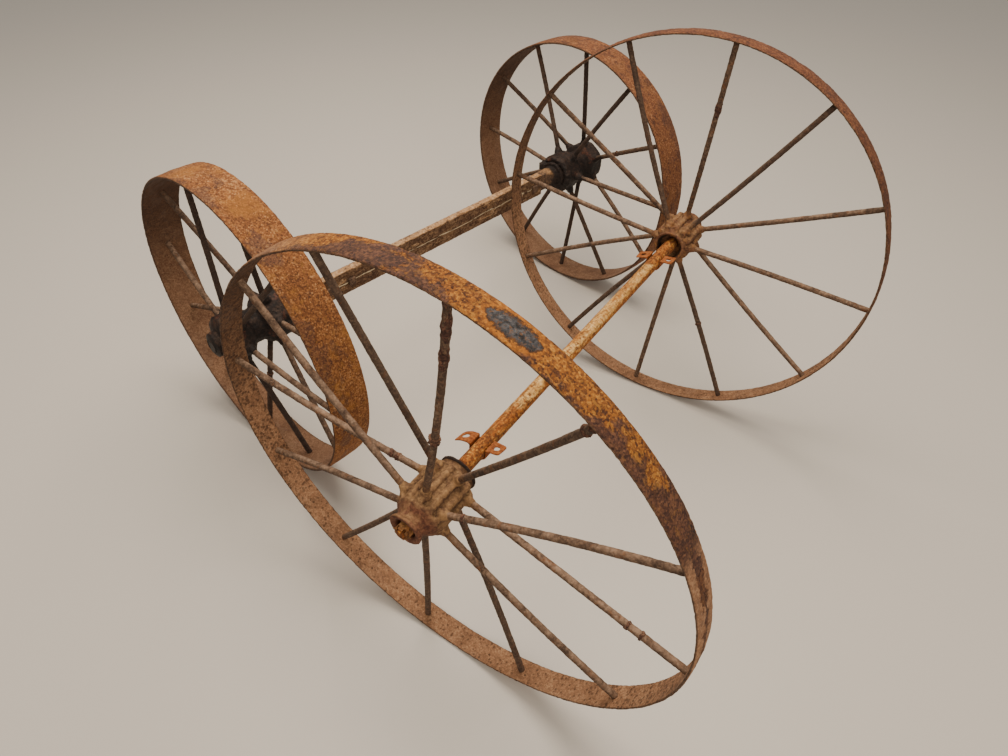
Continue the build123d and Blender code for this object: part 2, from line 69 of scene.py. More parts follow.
# Swollen scale on the rods: wheel, row side, spoke in its row, place from the root, length, girth (mm)
Scab = namedtuple("Scab", "wheel side spoke place length girth")
SCABS = (
    Scab("tall_near", 1, 1, 150, 12, 19.5),
    Scab("tall_near", 1, 1, 157, 9, 21),
    Scab("tall_near", 1, 1, 335, 75, 15.6),
    Scab("tall_near", 1, 1, 395, 85, 15.8),
    Scab("tall_near", 1, 1, 440, 40, 15.8),
    Scab("tall_near", -1, 2, 62, 12, 17.5),
    Scab("tall_near", -1, 2, 76, 16, 17),
    Scab("tall_near", -1, 5, 346, 11, 17.5),
    Scab("tall_near", -1, 5, 373, 9, 17),
    Scab("tall_near", -1, 0, 408, 14, 18.5),
    Scab("tall_near", -1, 0, 426, 12, 17.5),
    Scab("tall_near", -1, 0, 441, 16, 17.5),
    Scab("tall_near", 1, 0, 51, 10, 16.5),
    Scab("tall_far", 1, 1, 300, 60, 15.6),
    Scab("tall_far", -1, 3, 210, 14, 16.5),
    Scab("low_far", 1, 2, 120, 14, 17.5),
    Scab("low_near", -1, 4, 150, 14, 17.5),
)

# Width of the facets across a tyre, in metres
SECTION_STEP = 0.005

# Rods in a row of spokes, the turn from one to the next in degrees, and from the outer row to the inner one
ROW_RODS = 6
ROD_TURN = 360 / ROW_RODS
INNER_TURN = ROD_TURN / 2
# Steps along each rod and sides around it
ROD_STEPS = 100
ROD_SIDES = 12
# How far a rod runs into the rim's metal, and how far from the hub its root can still be told, in metres
ROD_IN_RIM = 0.002
ROOT_REACH = 0.12
# How deep rust pitted the rods, and how deep it crumbled their scabs, in metres
ROD_PITS = 0.0008
SCAB_CRUMBS = 0.003
# A rod thickens towards its root in a fillet and a taper: full until, gone from, and share of its radius
FILLET = (0.008, 0.019, 0.3)
TAPER = (0.015, 0.036, 0.13)

# How firmly scale holds across a tread: place across and lift, past the middle and at the outer edge
EDGE_HOLD = ((0.4, -0.035), (-1.0, 0.085))
# Where the near tall tread keeps its scale (place, reach, lift) or has lost it
SCALED_SPOTS = (
    ((0.675, -0.785, 0.865), 0.09, 0.09),
    ((0.735, -0.78, 0.805), 0.14, 0.17),
    ((0.785, -0.755, 0.73), 0.10, 0.12),
    ((0.50, -0.763, 0.985), 0.10, -0.12),
    ((0.27, -0.768, 1.01), 0.15, 0.13),
)
# The two foci of the oval of mill scale that never rusted off, on the near tall tread. What it shows is
# set by the sum of the distances to both: none at a zone's first sum, and full at its second.
MILL_SCALE = ((0.4575, -0.7614, 0.9982), (0.5350, -0.7622, 0.9706))
RUST_RING = (0.108, 0.09)
DARK_EDGE = (0.0915, 0.0885)
BARE_STEEL = (0.0885, 0.0855)
# Place and reach of that tread's dusty crest, and of the stretch where its scale broke off along both edges
DUSTY_CREST = ((0.03, -0.77, 0.91), 0.19)
TORN_EDGES = ((0.815, -0.735, 0.59), 0.2)

# The photograph's camera, solved from the rims: place, turn in degrees, lens and sensor in millimetres
CAMERA_PLACE = (0.87453, -1.36886, 1.55157)
CAMERA_TURN = (47.6997, -0.7705, 33.548)
LENS = 26.565
SENSOR = 36.0

# Lamps: name, place, width and share of the set power; both point at the lit spot
Lamp = namedtuple("Lamp", "name place width share")
LAMPS = (
    Lamp("overhead", (-0.6, 0.4, 3.6), 3.0, 1.0),
    Lamp("fill", (2.6, -2.4, 2.6), 2.0, 0.35),
)
LIT_SPOT = (0, 0, 0.3)
LAMP_LIGHT = "#fff1e0"
ROOM_LIGHT = "#e9e4dc"
ROOM_STRENGTH = 0.5
# The floor ends this far out, so that the render from the photograph's angle doesn't show its edge
FLOOR_REACH = 60.0


def to_linear(shade):
    """Turn an sRGB hex colour into linear red, green and blue."""
    parts = [int(shade[i:i + 2], 16) / 255 for i in (1, 3, 5)]
    return tuple(c / 12.92 if c <= 0.04045 else ((c + 0.055) / 1.055) ** 2.4 for c in parts)


def node(tree, kind, sockets=None, stops=None, **settings):
    """Add one node, set its properties, and fill its sockets with values or other nodes' outputs."""
    made = tree.nodes.new(kind)
    for name, value in settings.items():
        setattr(made, name, value)
    for key, value in (sockets or {}).items():
        if isinstance(value, bpy.types.Node):
            value = next(out for out in value.outputs if out.enabled)
        if isinstance(value, bpy.types.NodeSocket):
            tree.links.new(value, made.inputs[key])
        elif isinstance(value, str) and value.startswith("#"):
            made.inputs[key].default_value = (*to_linear(value), 1)
        else:
            made.inputs[key].default_value = value
    if stops:
        band = made.color_ramp.elements
        while len(band) > 1:
            band.remove(band[-1])
        for count, (place, shade) in enumerate(stops):
            entry = band[0] if count == 0 else band.new(place)
            entry.position = place
            entry.color = (*(to_linear(shade) if isinstance(shade, str) else shade), 1)
    return made


# Settings that a user would change


def length_setting(name, description, default):
    """Setting for a length in metres."""
    return FloatProperty(name=name, description=description, default=default, unit="LENGTH")


def shade_setting(name, description, shade):
    """Setting for a colour, whose default is given as sRGB hex."""
    return FloatVectorProperty(name=name, description=description, default=to_linear(shade), subtype="COLOR")


class WheelSizes:
    """Sizes that both kinds of wheel have."""

    radius: length_setting("Radius", "Radius of the tread's crown", 0.5077)
    width: length_setting("Width", "Width of the tyre band", 0.052)
    thickness: length_setting("Thickness", "Thickness of the tyre band", 0.007)
    crown: length_setting("Crown", "How far the tread's edges drop", 0.002)
    edge: length_setting("Edge Round", "Radius worn on the band's edges", 0.0022)
    around: IntProperty(name="Steps Around", description="Facets around the band", default=900)
    rod: length_setting("Spoke Diameter", "Diameter of the rods", 0.014)
    row: length_setting("Spoke Row", "Offset of a spoke row along the hub", 0.031)
    root: length_setting("Spoke Root", "Radius where the rods start in the hub", 0.041)
    foot: length_setting("Foot Radius", "Radius of the upset foot at the rim", 0.0105)
    foot_length: length_setting("Foot Length", "Length of the upset foot", 0.005)
    bend: length_setting("Bend", "How far a rod may bow at its middle", 0.005)


class TallWheelSettings(WheelSizes, bpy.types.PropertyGroup):
    """Sizes of the tall narrow wheels on the bar."""


class LowWheelSettings(WheelSizes, bpy.types.PropertyGroup):
    """Sizes of the low wide wheels on the beam."""

    radius: length_setting("Radius", "Radius of the tread's crown", 0.3987)
    width: length_setting("Width", "Width of the tyre band", 0.100)
    thickness: length_setting("Thickness", "Thickness of the tyre band", 0.009)
    around: IntProperty(name="Steps Around", description="Facets around the band", default=640)
    rod: length_setting("Spoke Diameter", "Diameter of the rods", 0.015)
    row: length_setting("Spoke Row", "Offset of a spoke row along the hub", 0.046)
    root: length_setting("Spoke Root", "Radius where the rods start in the hub", 0.053)
    foot: length_setting("Foot Radius", "Radius of the upset foot at the rim", 0.0135)
    foot_length: length_setting("Foot Length", "Length of the upset foot", 0.007)
    bend: length_setting("Bend", "How far a rod may bow at its middle", 0.003)


class WearSettings(bpy.types.PropertyGroup):
    """How deep the rust has eaten, and the middle colours of the finishes."""

    flake_depth: length_setting("Flake Depth", "Depth of the steps where scale fell off", 0.0013)
    pit_depth: length_setting("Pit Depth", "Depth of the fine pitting", 0.0006)
    cast_depth: length_setting("Casting Relief", "Unevenness of sand-cast faces", 0.0009)
    rust: shade_setting("Rust", "Colour of the loose orange rust", "#875121")
    scale: shade_setting("Scale", "Colour of the thick old scale", "#452c24")
    paint: shade_setting("Paint", "Colour of what is left of the paint", "#c99a55")
    grease: shade_setting("Grease", "Colour of the old grease", "#1d1614")


class StageSettings(bpy.types.PropertyGroup):
    """Floor and light."""

    floor: shade_setting("Floor", "Colour of the plain floor", "#c9c2b8")
    power: FloatProperty(name="Light Power", description="Power of the overhead light", default=170.0,
                         unit="POWER")


# Wheels' places


def wheel_matrix(row):
    """Place of a wheel: z points outboard along its hub and y points up."""
    joint = next(j for j in frame["joints"] if j["name"] == row.name + "_spin")
    outboard = Vector(joint["axis"]) * row.end
    level = Vector((0, 0, 1)).cross(outboard).normalized()
    upward = outboard.cross(level)
    turn = Matrix((level, upward, outboard)).transposed().to_4x4()
    return Matrix.Translation(Vector(joint["pos_m"])) @ turn


def in_wheel(row, points):
    """Points of an array in a wheel's own place: x level, y up, z outboard."""
    back = np.array(wheel_matrix(row).inverted())
    return points @ back[:3, :3].T + back[:3, 3]


def hub_axes(row, points):
    """Place along a hub and distance from its axis, in metres."""
    local = in_wheel(row, points)
    return local[:, 2], np.hypot(local[:, 0], local[:, 1])


# Patterns that Geometry Nodes trees and materials share


def mm(size):
    """Texture scale whose features are about so many millimetres across."""
    return 1000.0 / size


def summed(tree, *terms):
    """Add values up, each by its own weight."""
    total = 0.0
    for value, weight in terms:
        total = node(tree, "ShaderNodeMath", {0: value, 1: weight, 2: total}, operation="MULTIPLY_ADD")
    return total


def masked(tree, *parts):
    """Product of masks: each is a value, or (value, low, high) for its smooth share between two limits."""
    product = None
    for part in parts:
        if isinstance(part, tuple):
            part = node(tree, "ShaderNodeMapRange", {0: part[0], 1: part[1], 2: part[2]},
                        interpolation_type="SMOOTHSTEP")
        product = part if product is None else node(
            tree, "ShaderNodeMath", {0: product, 1: part}, operation="MULTIPLY")
    return product


def patches(tree, coords, size, seed, low, high, lift=0.0):
    """Ragged patches about so many millimetres across: 1 inside them, 0 outside. The seed picks their
    noise, which is raised by the lift, and they run from its low limit, still 0, to its high one."""
    field = node(tree, "ShaderNodeTexNoise", {
        "Vector": coords, "Scale": mm(size), "Detail": 7.0, "Roughness": 0.66, "W": seed,
        "Distortion": 0.35}, noise_dimensions="4D")
    return masked(tree, (summed(tree, (field, 1.0), (lift, 1.0)), low, high))


def near_to(tree, coords, place, reach):
    """1 at a place, falling to 0 at a reach from it."""
    apart = node(tree, "ShaderNodeVectorMath", {0: coords, 1: place}, operation="DISTANCE")
    return masked(tree, (apart.outputs["Value"], reach, 0.0))


def rolled(tree, coords):
    """Positions squeezed in the wheel's plane, so that a pattern runs along the tread."""
    squeezed = node(tree, "ShaderNodeVectorMath", {0: coords, 1: (0.6, 1.0, 0.6)}, operation="MULTIPLY")
    return squeezed.outputs[0]


def far_side(tree, coords):
    """1 on the wheels at the far ends of the axles, 0 on the near ones."""
    return masked(tree, (node(tree, "ShaderNodeSeparateXYZ", {0: coords}).outputs[1], -0.1, 0.1))


def scale_left(tree, coords, across):
    """Where the tread's thick old scale still holds: along its outer edge first, and at its own spots."""
    (inner, least), (outer, most) = EDGE_HOLD
    edge = node(tree, "ShaderNodeMapRange", {0: across, 1: inner, 2: outer, 3: least, 4: most})
    spots = [(near_to(tree, coords, place, reach), weight) for place, reach, weight in SCALED_SPOTS]
    return patches(tree, rolled(tree, coords), size=45.0, seed=2.6, low=0.54, high=0.61,
                   lift=summed(tree, (edge, 1.0), *spots))


# Geometry Nodes trees


def new_tree(name, inputs):
    """Start a Geometry Nodes tree with named inputs and one geometry output."""
    tree = bpy.data.node_groups.new(name, "GeometryNodeTree")
    tree.interface.new_socket("Geometry", in_out="INPUT", socket_type="NodeSocketGeometry")
    tree.interface.new_socket("Geometry", in_out="OUTPUT", socket_type="NodeSocketGeometry")
    for label, kind in inputs:
        tree.interface.new_socket(label, in_out="INPUT", socket_type="NodeSocket" + kind)
    return tree, node(tree, "NodeGroupInput")


def finish_tree(tree, shape, material):
    """Store how far the surface faces up, for the dust that lies on it and the painted shade on what
    faces down, and end the tree.
    """
    parts = node(tree, "ShaderNodeSeparateXYZ", {0: node(tree, "GeometryNodeInputNormal")})
    dusted = node(tree, "GeometryNodeStoreNamedAttribute", {
        "Geometry": shape, "Name": "up", "Value": parts.outputs[2]}, data_type="FLOAT", domain="POINT")
    real = node(tree, "GeometryNodeRealizeInstances", {"Geometry": dusted})
    painted = node(tree, "GeometryNodeSetMaterial", {"Geometry": real, "Material": material})
    node(tree, "NodeGroupOutput", {"Geometry": painted})


def placed(tree, shape, given):
    """Turn and move a shape from a wheel's own place to the row frame."""
    turn = node(tree, "FunctionNodeEulerToRotation", {0: given.outputs["Turn"]})
    return node(tree, "GeometryNodeTransform", {
        "Geometry": shape, "Translation": given.outputs["Centre"], "Rotation": turn})


def swollen(tree, shape, height):
    """Move a surface out of its metal by a height, or into it where the height is negative."""
    outward = node(tree, "ShaderNodeVectorMath", {
        0: node(tree, "GeometryNodeInputNormal"), "Scale": height}, operation="SCALE")
    return node(tree, "GeometryNodeSetPosition", {"Geometry": shape, "Offset": outward})


def tyre_tree():
    """Tyre band: the section of the carrier mesh swept round the wheel and eaten by rust."""
    tree, given = new_tree("tyre_band", (
        ("Centre", "Vector"), ("Turn", "Vector"), ("Radius", "Float"), ("Around", "Int"),
        ("Flake Depth", "Float"), ("Pit Depth", "Float"), ("Material", "Material")))
    get = given.outputs
    circle = node(tree, "GeometryNodeCurvePrimitiveCircle", {
        "Resolution": get["Around"], "Radius": get["Radius"]})
    section = node(tree, "GeometryNodeMeshToCurve", {"Mesh": get["Geometry"]})
    band = node(tree, "GeometryNodeCurveToMesh", {"Curve": circle, "Profile Curve": section})
    band = placed(tree, band, given)
    here = node(tree, "GeometryNodeInputPosition")
    across = node(tree, "GeometryNodeInputNamedAttribute", {"Name": "across"}, data_type="FLOAT")
    tread = node(tree, "GeometryNodeInputNamedAttribute", {"Name": "tread"}, data_type="FLOAT")
    bare = node(tree, "ShaderNodeMath", {0: 1.0, 1: scale_left(tree, here, across)}, operation="SUBTRACT")
    flaked = node(tree, "ShaderNodeMath", {0: bare, 1: tread}, operation="MULTIPLY")
    nibbled = patches(tree, here, size=14.0, seed=1.7, low=0.52, high=0.6)
    flaked = node(tree, "ShaderNodeMath", {0: summed(tree, (flaked, 0.55), (nibbled, 0.45)),
                                           1: get["Flake Depth"]}, operation="MULTIPLY")
    fine = patches(tree, here, size=6.0, seed=4.1, low=0.4, high=0.65)
    pitted = node(tree, "ShaderNodeMath", {0: fine, 1: get["Pit Depth"]}, operation="MULTIPLY")
    finish_tree(tree, swollen(tree, band, summed(tree, (flaked, -1.0), (pitted, -1.0))), get["Material"])
    return tree


def spoke_tree():
    """Row of round rods from the hub to the rim, each bowed and scaled in its own way."""
    tree, given = new_tree("spoke_row", (
        ("Centre", "Vector"), ("Turn", "Vector"), ("Count", "Int"), ("First Angle", "Float"),
        ("Root", "Float"), ("Row", "Float"), ("Rim", "Float"), ("Rod Radius", "Float"),
        ("Foot Radius", "Float"), ("Foot Length", "Float"), ("Bend", "Float"), ("Soot", "Float"),
        ("Seed", "Int"), ("Material", "Material")))
    get = given.outputs
    root = node(tree, "ShaderNodeCombineXYZ", {0: get["Root"], 2: get["Row"]})
    tip = node(tree, "ShaderNodeCombineXYZ", {0: summed(tree, (get["Rim"], 1.0), (1.0, ROD_IN_RIM))})
    line = node(tree, "GeometryNodeCurvePrimitiveLine", {"Start": root, "End": tip})
    line = node(tree, "GeometryNodeResampleCurve", {"Curve": line, "Count": ROD_STEPS})
    lines = node(tree, "GeometryNodeDuplicateElements", {"Geometry": line, "Amount": get["Count"]},
                 domain="SPLINE")
    index = lines.outputs["Duplicate Index"]
    apart = node(tree, "ShaderNodeMath", {0: 2 * pi, 1: get["Count"]}, operation="DIVIDE")
    turn = node(tree, "ShaderNodeMath", {0: index, 1: apart, 2: get["First Angle"]},
                operation="MULTIPLY_ADD")
    along = node(tree, "GeometryNodeSplineParameter").outputs["Factor"]
    belly = node(tree, "ShaderNodeMath", {0: summed(tree, (along, pi))}, operation="SINE")
    belly = node(tree, "ShaderNodeMath", {0: belly, 1: get["Bend"]}, operation="MULTIPLY")
    sway = node(tree, "FunctionNodeRandomValue", {
        0: (-1, -1, -1), 1: (1, 1, 1), "ID": index, "Seed": get["Seed"]}, data_type="FLOAT_VECTOR")
    bow = node(tree, "ShaderNodeVectorMath", {0: sway, "Scale": belly}, operation="SCALE")
    bent = node(tree, "GeometryNodeSetPosition", {"Geometry": lines, "Offset": bow})
    # Dust lies on the level rods. The steep ones stay dark, under a coat that is partly soot and partly
    #         painted shade.
    steep = node(tree, "ShaderNodeMath", {0: node(tree, "ShaderNodeMath", {0: turn}, operation="SINE")},
                 operation="ABSOLUTE")
    chance = node(tree, "FunctionNodeRandomValue", {2: 0.6, 3: 1.0, "ID": index, "Seed": get["Seed"]},
                  data_type="FLOAT").outputs[1]
    soot_and_shade_mask = masked(tree, (steep, 0.2, 1.0), chance, get["Soot"])
    bent = node(tree, "GeometryNodeStoreNamedAttribute", {
        "Geometry": bent, "Name": "covered", "Value": soot_and_shade_mask}, data_type="FLOAT", domain="POINT")
    spun = node(tree, "ShaderNodeVectorRotate", {
        "Vector": node(tree, "GeometryNodeInputPosition"), "Axis": (0, 0, 1), "Angle": turn})
    fan = placed(tree, node(tree, "GeometryNodeSetPosition", {"Geometry": bent, "Position": spun}), given)
    length = node(tree, "GeometryNodeSplineParameter").outputs["Length"]
    whole = node(tree, "GeometryNodeSplineLength").outputs["Length"]
    left = node(tree, "ShaderNodeMath", {0: whole, 1: length}, operation="SUBTRACT")
    swell = node(tree, "ShaderNodeMapRange", {
        0: left, 1: summed(tree, (get["Foot Length"], 0.7)), 2: summed(tree, (get["Foot Length"], 1.6)),
        3: 1.0, 4: 0.0}, interpolation_type="SMOOTHSTEP")
    extra = node(tree, "ShaderNodeMath", {0: get["Foot Radius"], 1: get["Rod Radius"]}, operation="DIVIDE")
    foot = node(tree, "ShaderNodeMath", {0: swell, 1: summed(tree, (extra, 1.0), (1.0, -1.0))},
                operation="MULTIPLY")
    # The iron was poured round the rods, so each one leaves its boss through a small fillet.
    fillet, taper = (node(tree, "ShaderNodeMapRange", {0: length, 1: full, 2: gone, 3: share, 4: 0.0},
                          interpolation_type="SMOOTHSTEP") for full, gone, share in (FILLET, TAPER))
    lumps = patches(tree, node(tree, "GeometryNodeInputPosition"), size=60.0, seed=5.1, low=0.6, high=0.8)
    thick = summed(tree, (1.0, 1.0), (lumps, 0.07), (foot, 1.0), (fillet, 1.0), (taper, 1.0))
    fan = node(tree, "GeometryNodeSetCurveRadius", {"Curve": fan, "Radius": thick})
    fan = node(tree, "GeometryNodeStoreNamedAttribute", {"Geometry": fan, "Name": "root", "Value": node(
        tree, "ShaderNodeMapRange", {0: length, 1: 0.0, 2: ROOT_REACH, 3: 1.0, 4: 0.0})},
        data_type="FLOAT", domain="POINT")
    ring = node(tree, "GeometryNodeCurvePrimitiveCircle", {
        "Resolution": ROD_SIDES, "Radius": get["Rod Radius"]})
    rods = node(tree, "GeometryNodeCurveToMesh", {"Curve": fan, "Profile Curve": ring, "Fill Caps": True})
    eaten = patches(tree, node(tree, "GeometryNodeInputPosition"), size=8.0, seed=2.2, low=0.4, high=0.66)
    finish_tree(tree, swollen(tree, rods, summed(tree, (eaten, -ROD_PITS))), get["Material"])
    return tree


def scab_tree():
    """Lumps of swollen scale that cling round the rods: one at each point of the carrier mesh."""
    tree, given = new_tree("rod_scabs", (("Roughness Depth", "Float"), ("Material", "Material")))
    get = given.outputs
    lump = node(tree, "GeometryNodeMeshIcoSphere", {"Radius": 1.0, "Subdivisions": 4})
    rod = node(tree, "GeometryNodeInputNamedAttribute", {"Name": "rod"}, data_type="FLOAT_VECTOR")
    size = node(tree, "GeometryNodeInputNamedAttribute", {"Name": "size"}, data_type="FLOAT_VECTOR")
    turn = node(tree, "FunctionNodeAlignRotationToVector", {"Vector": rod}, axis="Z")
    lumps = node(tree, "GeometryNodeInstanceOnPoints", {
        "Points": get["Geometry"], "Instance": lump.outputs["Mesh"], "Rotation": turn, "Scale": size})
    lumps = node(tree, "GeometryNodeRealizeInstances", {"Geometry": lumps})
    here = node(tree, "GeometryNodeInputPosition")
    crumbs = patches(tree, here, size=7.0, seed=6.6, low=0.36, high=0.64)
    crumbs = node(tree, "ShaderNodeMath", {0: summed(tree, (crumbs, 1.0), (1.0, -0.6)),
                                           1: get["Roughness Depth"]}, operation="MULTIPLY")
    finish_tree(tree, swollen(tree, lumps, crumbs), get["Material"])
    return tree


def relief_tree():
    """Uneven face of old iron: sinks a mesh by noise, swells it where it is crusted, and stores
    where it is hollow."""
    tree, given = new_tree("iron_relief", (
        ("Depth", "Float"), ("Grains Per Metre", "Float"), ("Crust", "Float"), ("Seed", "Float"),
        ("Material", "Material")))
    get = given.outputs
    here = node(tree, "GeometryNodeInputPosition")
    even = node(tree, "GeometryNodeBlurAttribute", {"Value": here, "Iterations": 10},
                data_type="FLOAT_VECTOR")
    away = node(tree, "ShaderNodeVectorMath", {0: even, 1: here}, operation="SUBTRACT")
    hollow = node(tree, "ShaderNodeVectorMath", {0: away, 1: node(tree, "GeometryNodeInputNormal")},
                  operation="DOT_PRODUCT").outputs["Value"]
    shape = node(tree, "GeometryNodeStoreNamedAttribute", {
        "Geometry": get["Geometry"], "Name": "hollow", "Value": summed(tree, (hollow, 1000.0))},
        data_type="FLOAT", domain="POINT")
    grains = node(tree, "ShaderNodeVectorMath", {0: here, "Scale": get["Grains Per Metre"]},
                  operation="SCALE")
    uneven = patches(tree, grains, size=1000.0, seed=get["Seed"], low=0.3, high=0.7)
    sunk = node(tree, "ShaderNodeMath", {0: uneven, 1: get["Depth"]}, operation="MULTIPLY")
    crusted = node(tree, "GeometryNodeInputNamedAttribute", {"Name": "crust"}, data_type="FLOAT")
    clots = patches(tree, here, size=15.0, seed=8.8, low=0.4, high=0.66)
    clots = node(tree, "ShaderNodeMath", {0: clots, 1: crusted}, operation="MULTIPLY")
    clots = node(tree, "ShaderNodeMath", {0: clots, 1: get["Crust"]}, operation="MULTIPLY")
    finish_tree(tree, swollen(tree, shape, summed(tree, (sunk, -1.0), (clots, 1.0))), get["Material"])
    return tree


TREE_BUILDERS = {"tyre_band": tyre_tree, "spoke_row": spoke_tree, "rod_scabs": scab_tree,
                 "iron_relief": relief_tree}


def grown(name, kind, values, source):
    """Run one kind of Geometry Nodes tree on a source mesh and keep its result as a plain,
    outward-facing mesh."""
    tree = bpy.data.node_groups.get(kind) or TREE_BUILDERS[kind]()
    carrier = bpy.data.objects.new(name + "_carrier", source)
    bpy.context.scene.collection.objects.link(carrier)
    modifier = carrier.modifiers.new("Growth", "NODES")
    modifier.node_group = tree
    for item in tree.interface.items_tree:
        if item.item_type == "SOCKET" and item.in_out == "INPUT" and item.name in values:
            modifier[item.identifier] = values[item.name]
    depsgraph = bpy.context.evaluated_depsgraph_get()
    mesh = bpy.data.meshes.new_from_object(
        carrier.evaluated_get(depsgraph), preserve_all_data_layers=True, depsgraph=depsgraph)
    bpy.data.objects.remove(carrier)
    if signed_volume(mesh) < 0:
        mesh.flip_normals()
    mesh.shade_smooth()
    piece = bpy.data.objects.new(name, mesh)
    bpy.context.scene.collection.objects.link(piece)
    return piece


def signed_volume(mesh):
    """Volume of a closed mesh, negative where its faces point inwards."""
    mesh.calc_loop_triangles()
    corners = np.zeros(len(mesh.loop_triangles) * 3, np.int32)
    mesh.loop_triangles.foreach_get("vertices", corners)
    a, b, c = points_of(mesh)[corners].reshape(-1, 3, 3).transpose(1, 0, 2)
    return float(np.einsum("ij,ij->i", a, np.cross(b, c)).sum() / 6)


def points_of(mesh):
    """Array of a mesh's points."""
    places = np.zeros(len(mesh.vertices) * 3)
    mesh.vertices.foreach_get("co", places)
    return places.reshape(-1, 3)


# Materials


def speckle(tree, coords, stops, sizes, seed, granular=0.14):
    """Mottled colour of an oxide, read from a ramp by three sizes of noise in millimetres and by
    single grains of the smallest size. Gives the colour and the height of the grain."""
    terms = []
    for size, weight in zip(sizes, SIZE_WEIGHTS):
        cloud = node(tree, "ShaderNodeTexNoise", {
            "Vector": coords, "Scale": mm(size), "Detail": 4.0, "Roughness": 0.62, "W": seed + size},
            noise_dimensions="4D")
        terms.append((cloud, weight))
    grains = node(tree, "ShaderNodeTexVoronoi", {"Vector": coords, "Scale": mm(sizes[2])}, feature="F1")
    shade = node(tree, "ShaderNodeSeparateColor", {0: grains.outputs["Color"]})
    mixed = summed(tree, *terms, (shade.outputs[0], granular), (1.0, -0.5 * granular))
    spread = node(tree, "ShaderNodeMapRange", {0: mixed, 1: 0.37, 2: 0.63})
    return node(tree, "ShaderNodeValToRGB", {0: spread}, stops=stops).outputs[0], mixed


def coats(tree, base, *layers):
    """Lay colours over a base, each where its own mask is 1."""
    for mask, colour in layers:
        base = node(tree, "ShaderNodeMix", {0: mask, 6: base, 7: colour}, data_type="RGBA").outputs[2]
    return base


def new_surface(name, roughness):
    """Material with one Principled surface of a set roughness. Rust, grease, old paint and a plain floor
    aren't metals, and their grains reflect less than a polished face would."""
    material = bpy.data.materials.new(name)
    material.use_nodes = True
    tree = material.node_tree
    tree.nodes.clear()
    coords = node(tree, "ShaderNodeTexCoord").outputs["Object"]
    surface = node(tree, "ShaderNodeBsdfPrincipled", {
        "Roughness": roughness, "Metallic": 0.0, "IOR": 1.5, "Specular IOR Level": 0.3})
    node(tree, "ShaderNodeOutputMaterial", {"Surface": surface})
    return material, tree, coords, surface


def finish_surface(tree, surface, colour, height, depth, roughness=None):
    """Join colour, bump and roughness to the surface. The depth of its relief is in metres."""
    tree.links.new(colour, surface.inputs["Base Color"])
    bump = node(tree, "ShaderNodeBump", {"Height": height, "Distance": depth, "Strength": 1.0})
    tree.links.new(bump.outputs[0], surface.inputs["Normal"])
    if roughness is not None:
        tree.links.new(roughness.outputs[0], surface.inputs["Roughness"])


# How much the clouds, blotches and grains of a mottled colour weigh in it
SIZE_WEIGHTS = (0.3, 0.28, 0.42)

# Their sizes on castings and under paint, in millimetres; real grains are finer, and are drawn this coarse
# so that they show
CAST_GRAIN = (24.0, 9.0, 4.2)
PAINT_GRAIN = (30.0, 11.0, 4.6)

# How far the noise rises from the edge of a patch of scale, or of a pinhole, to where it is whole
SOFT_EDGE = 0.06

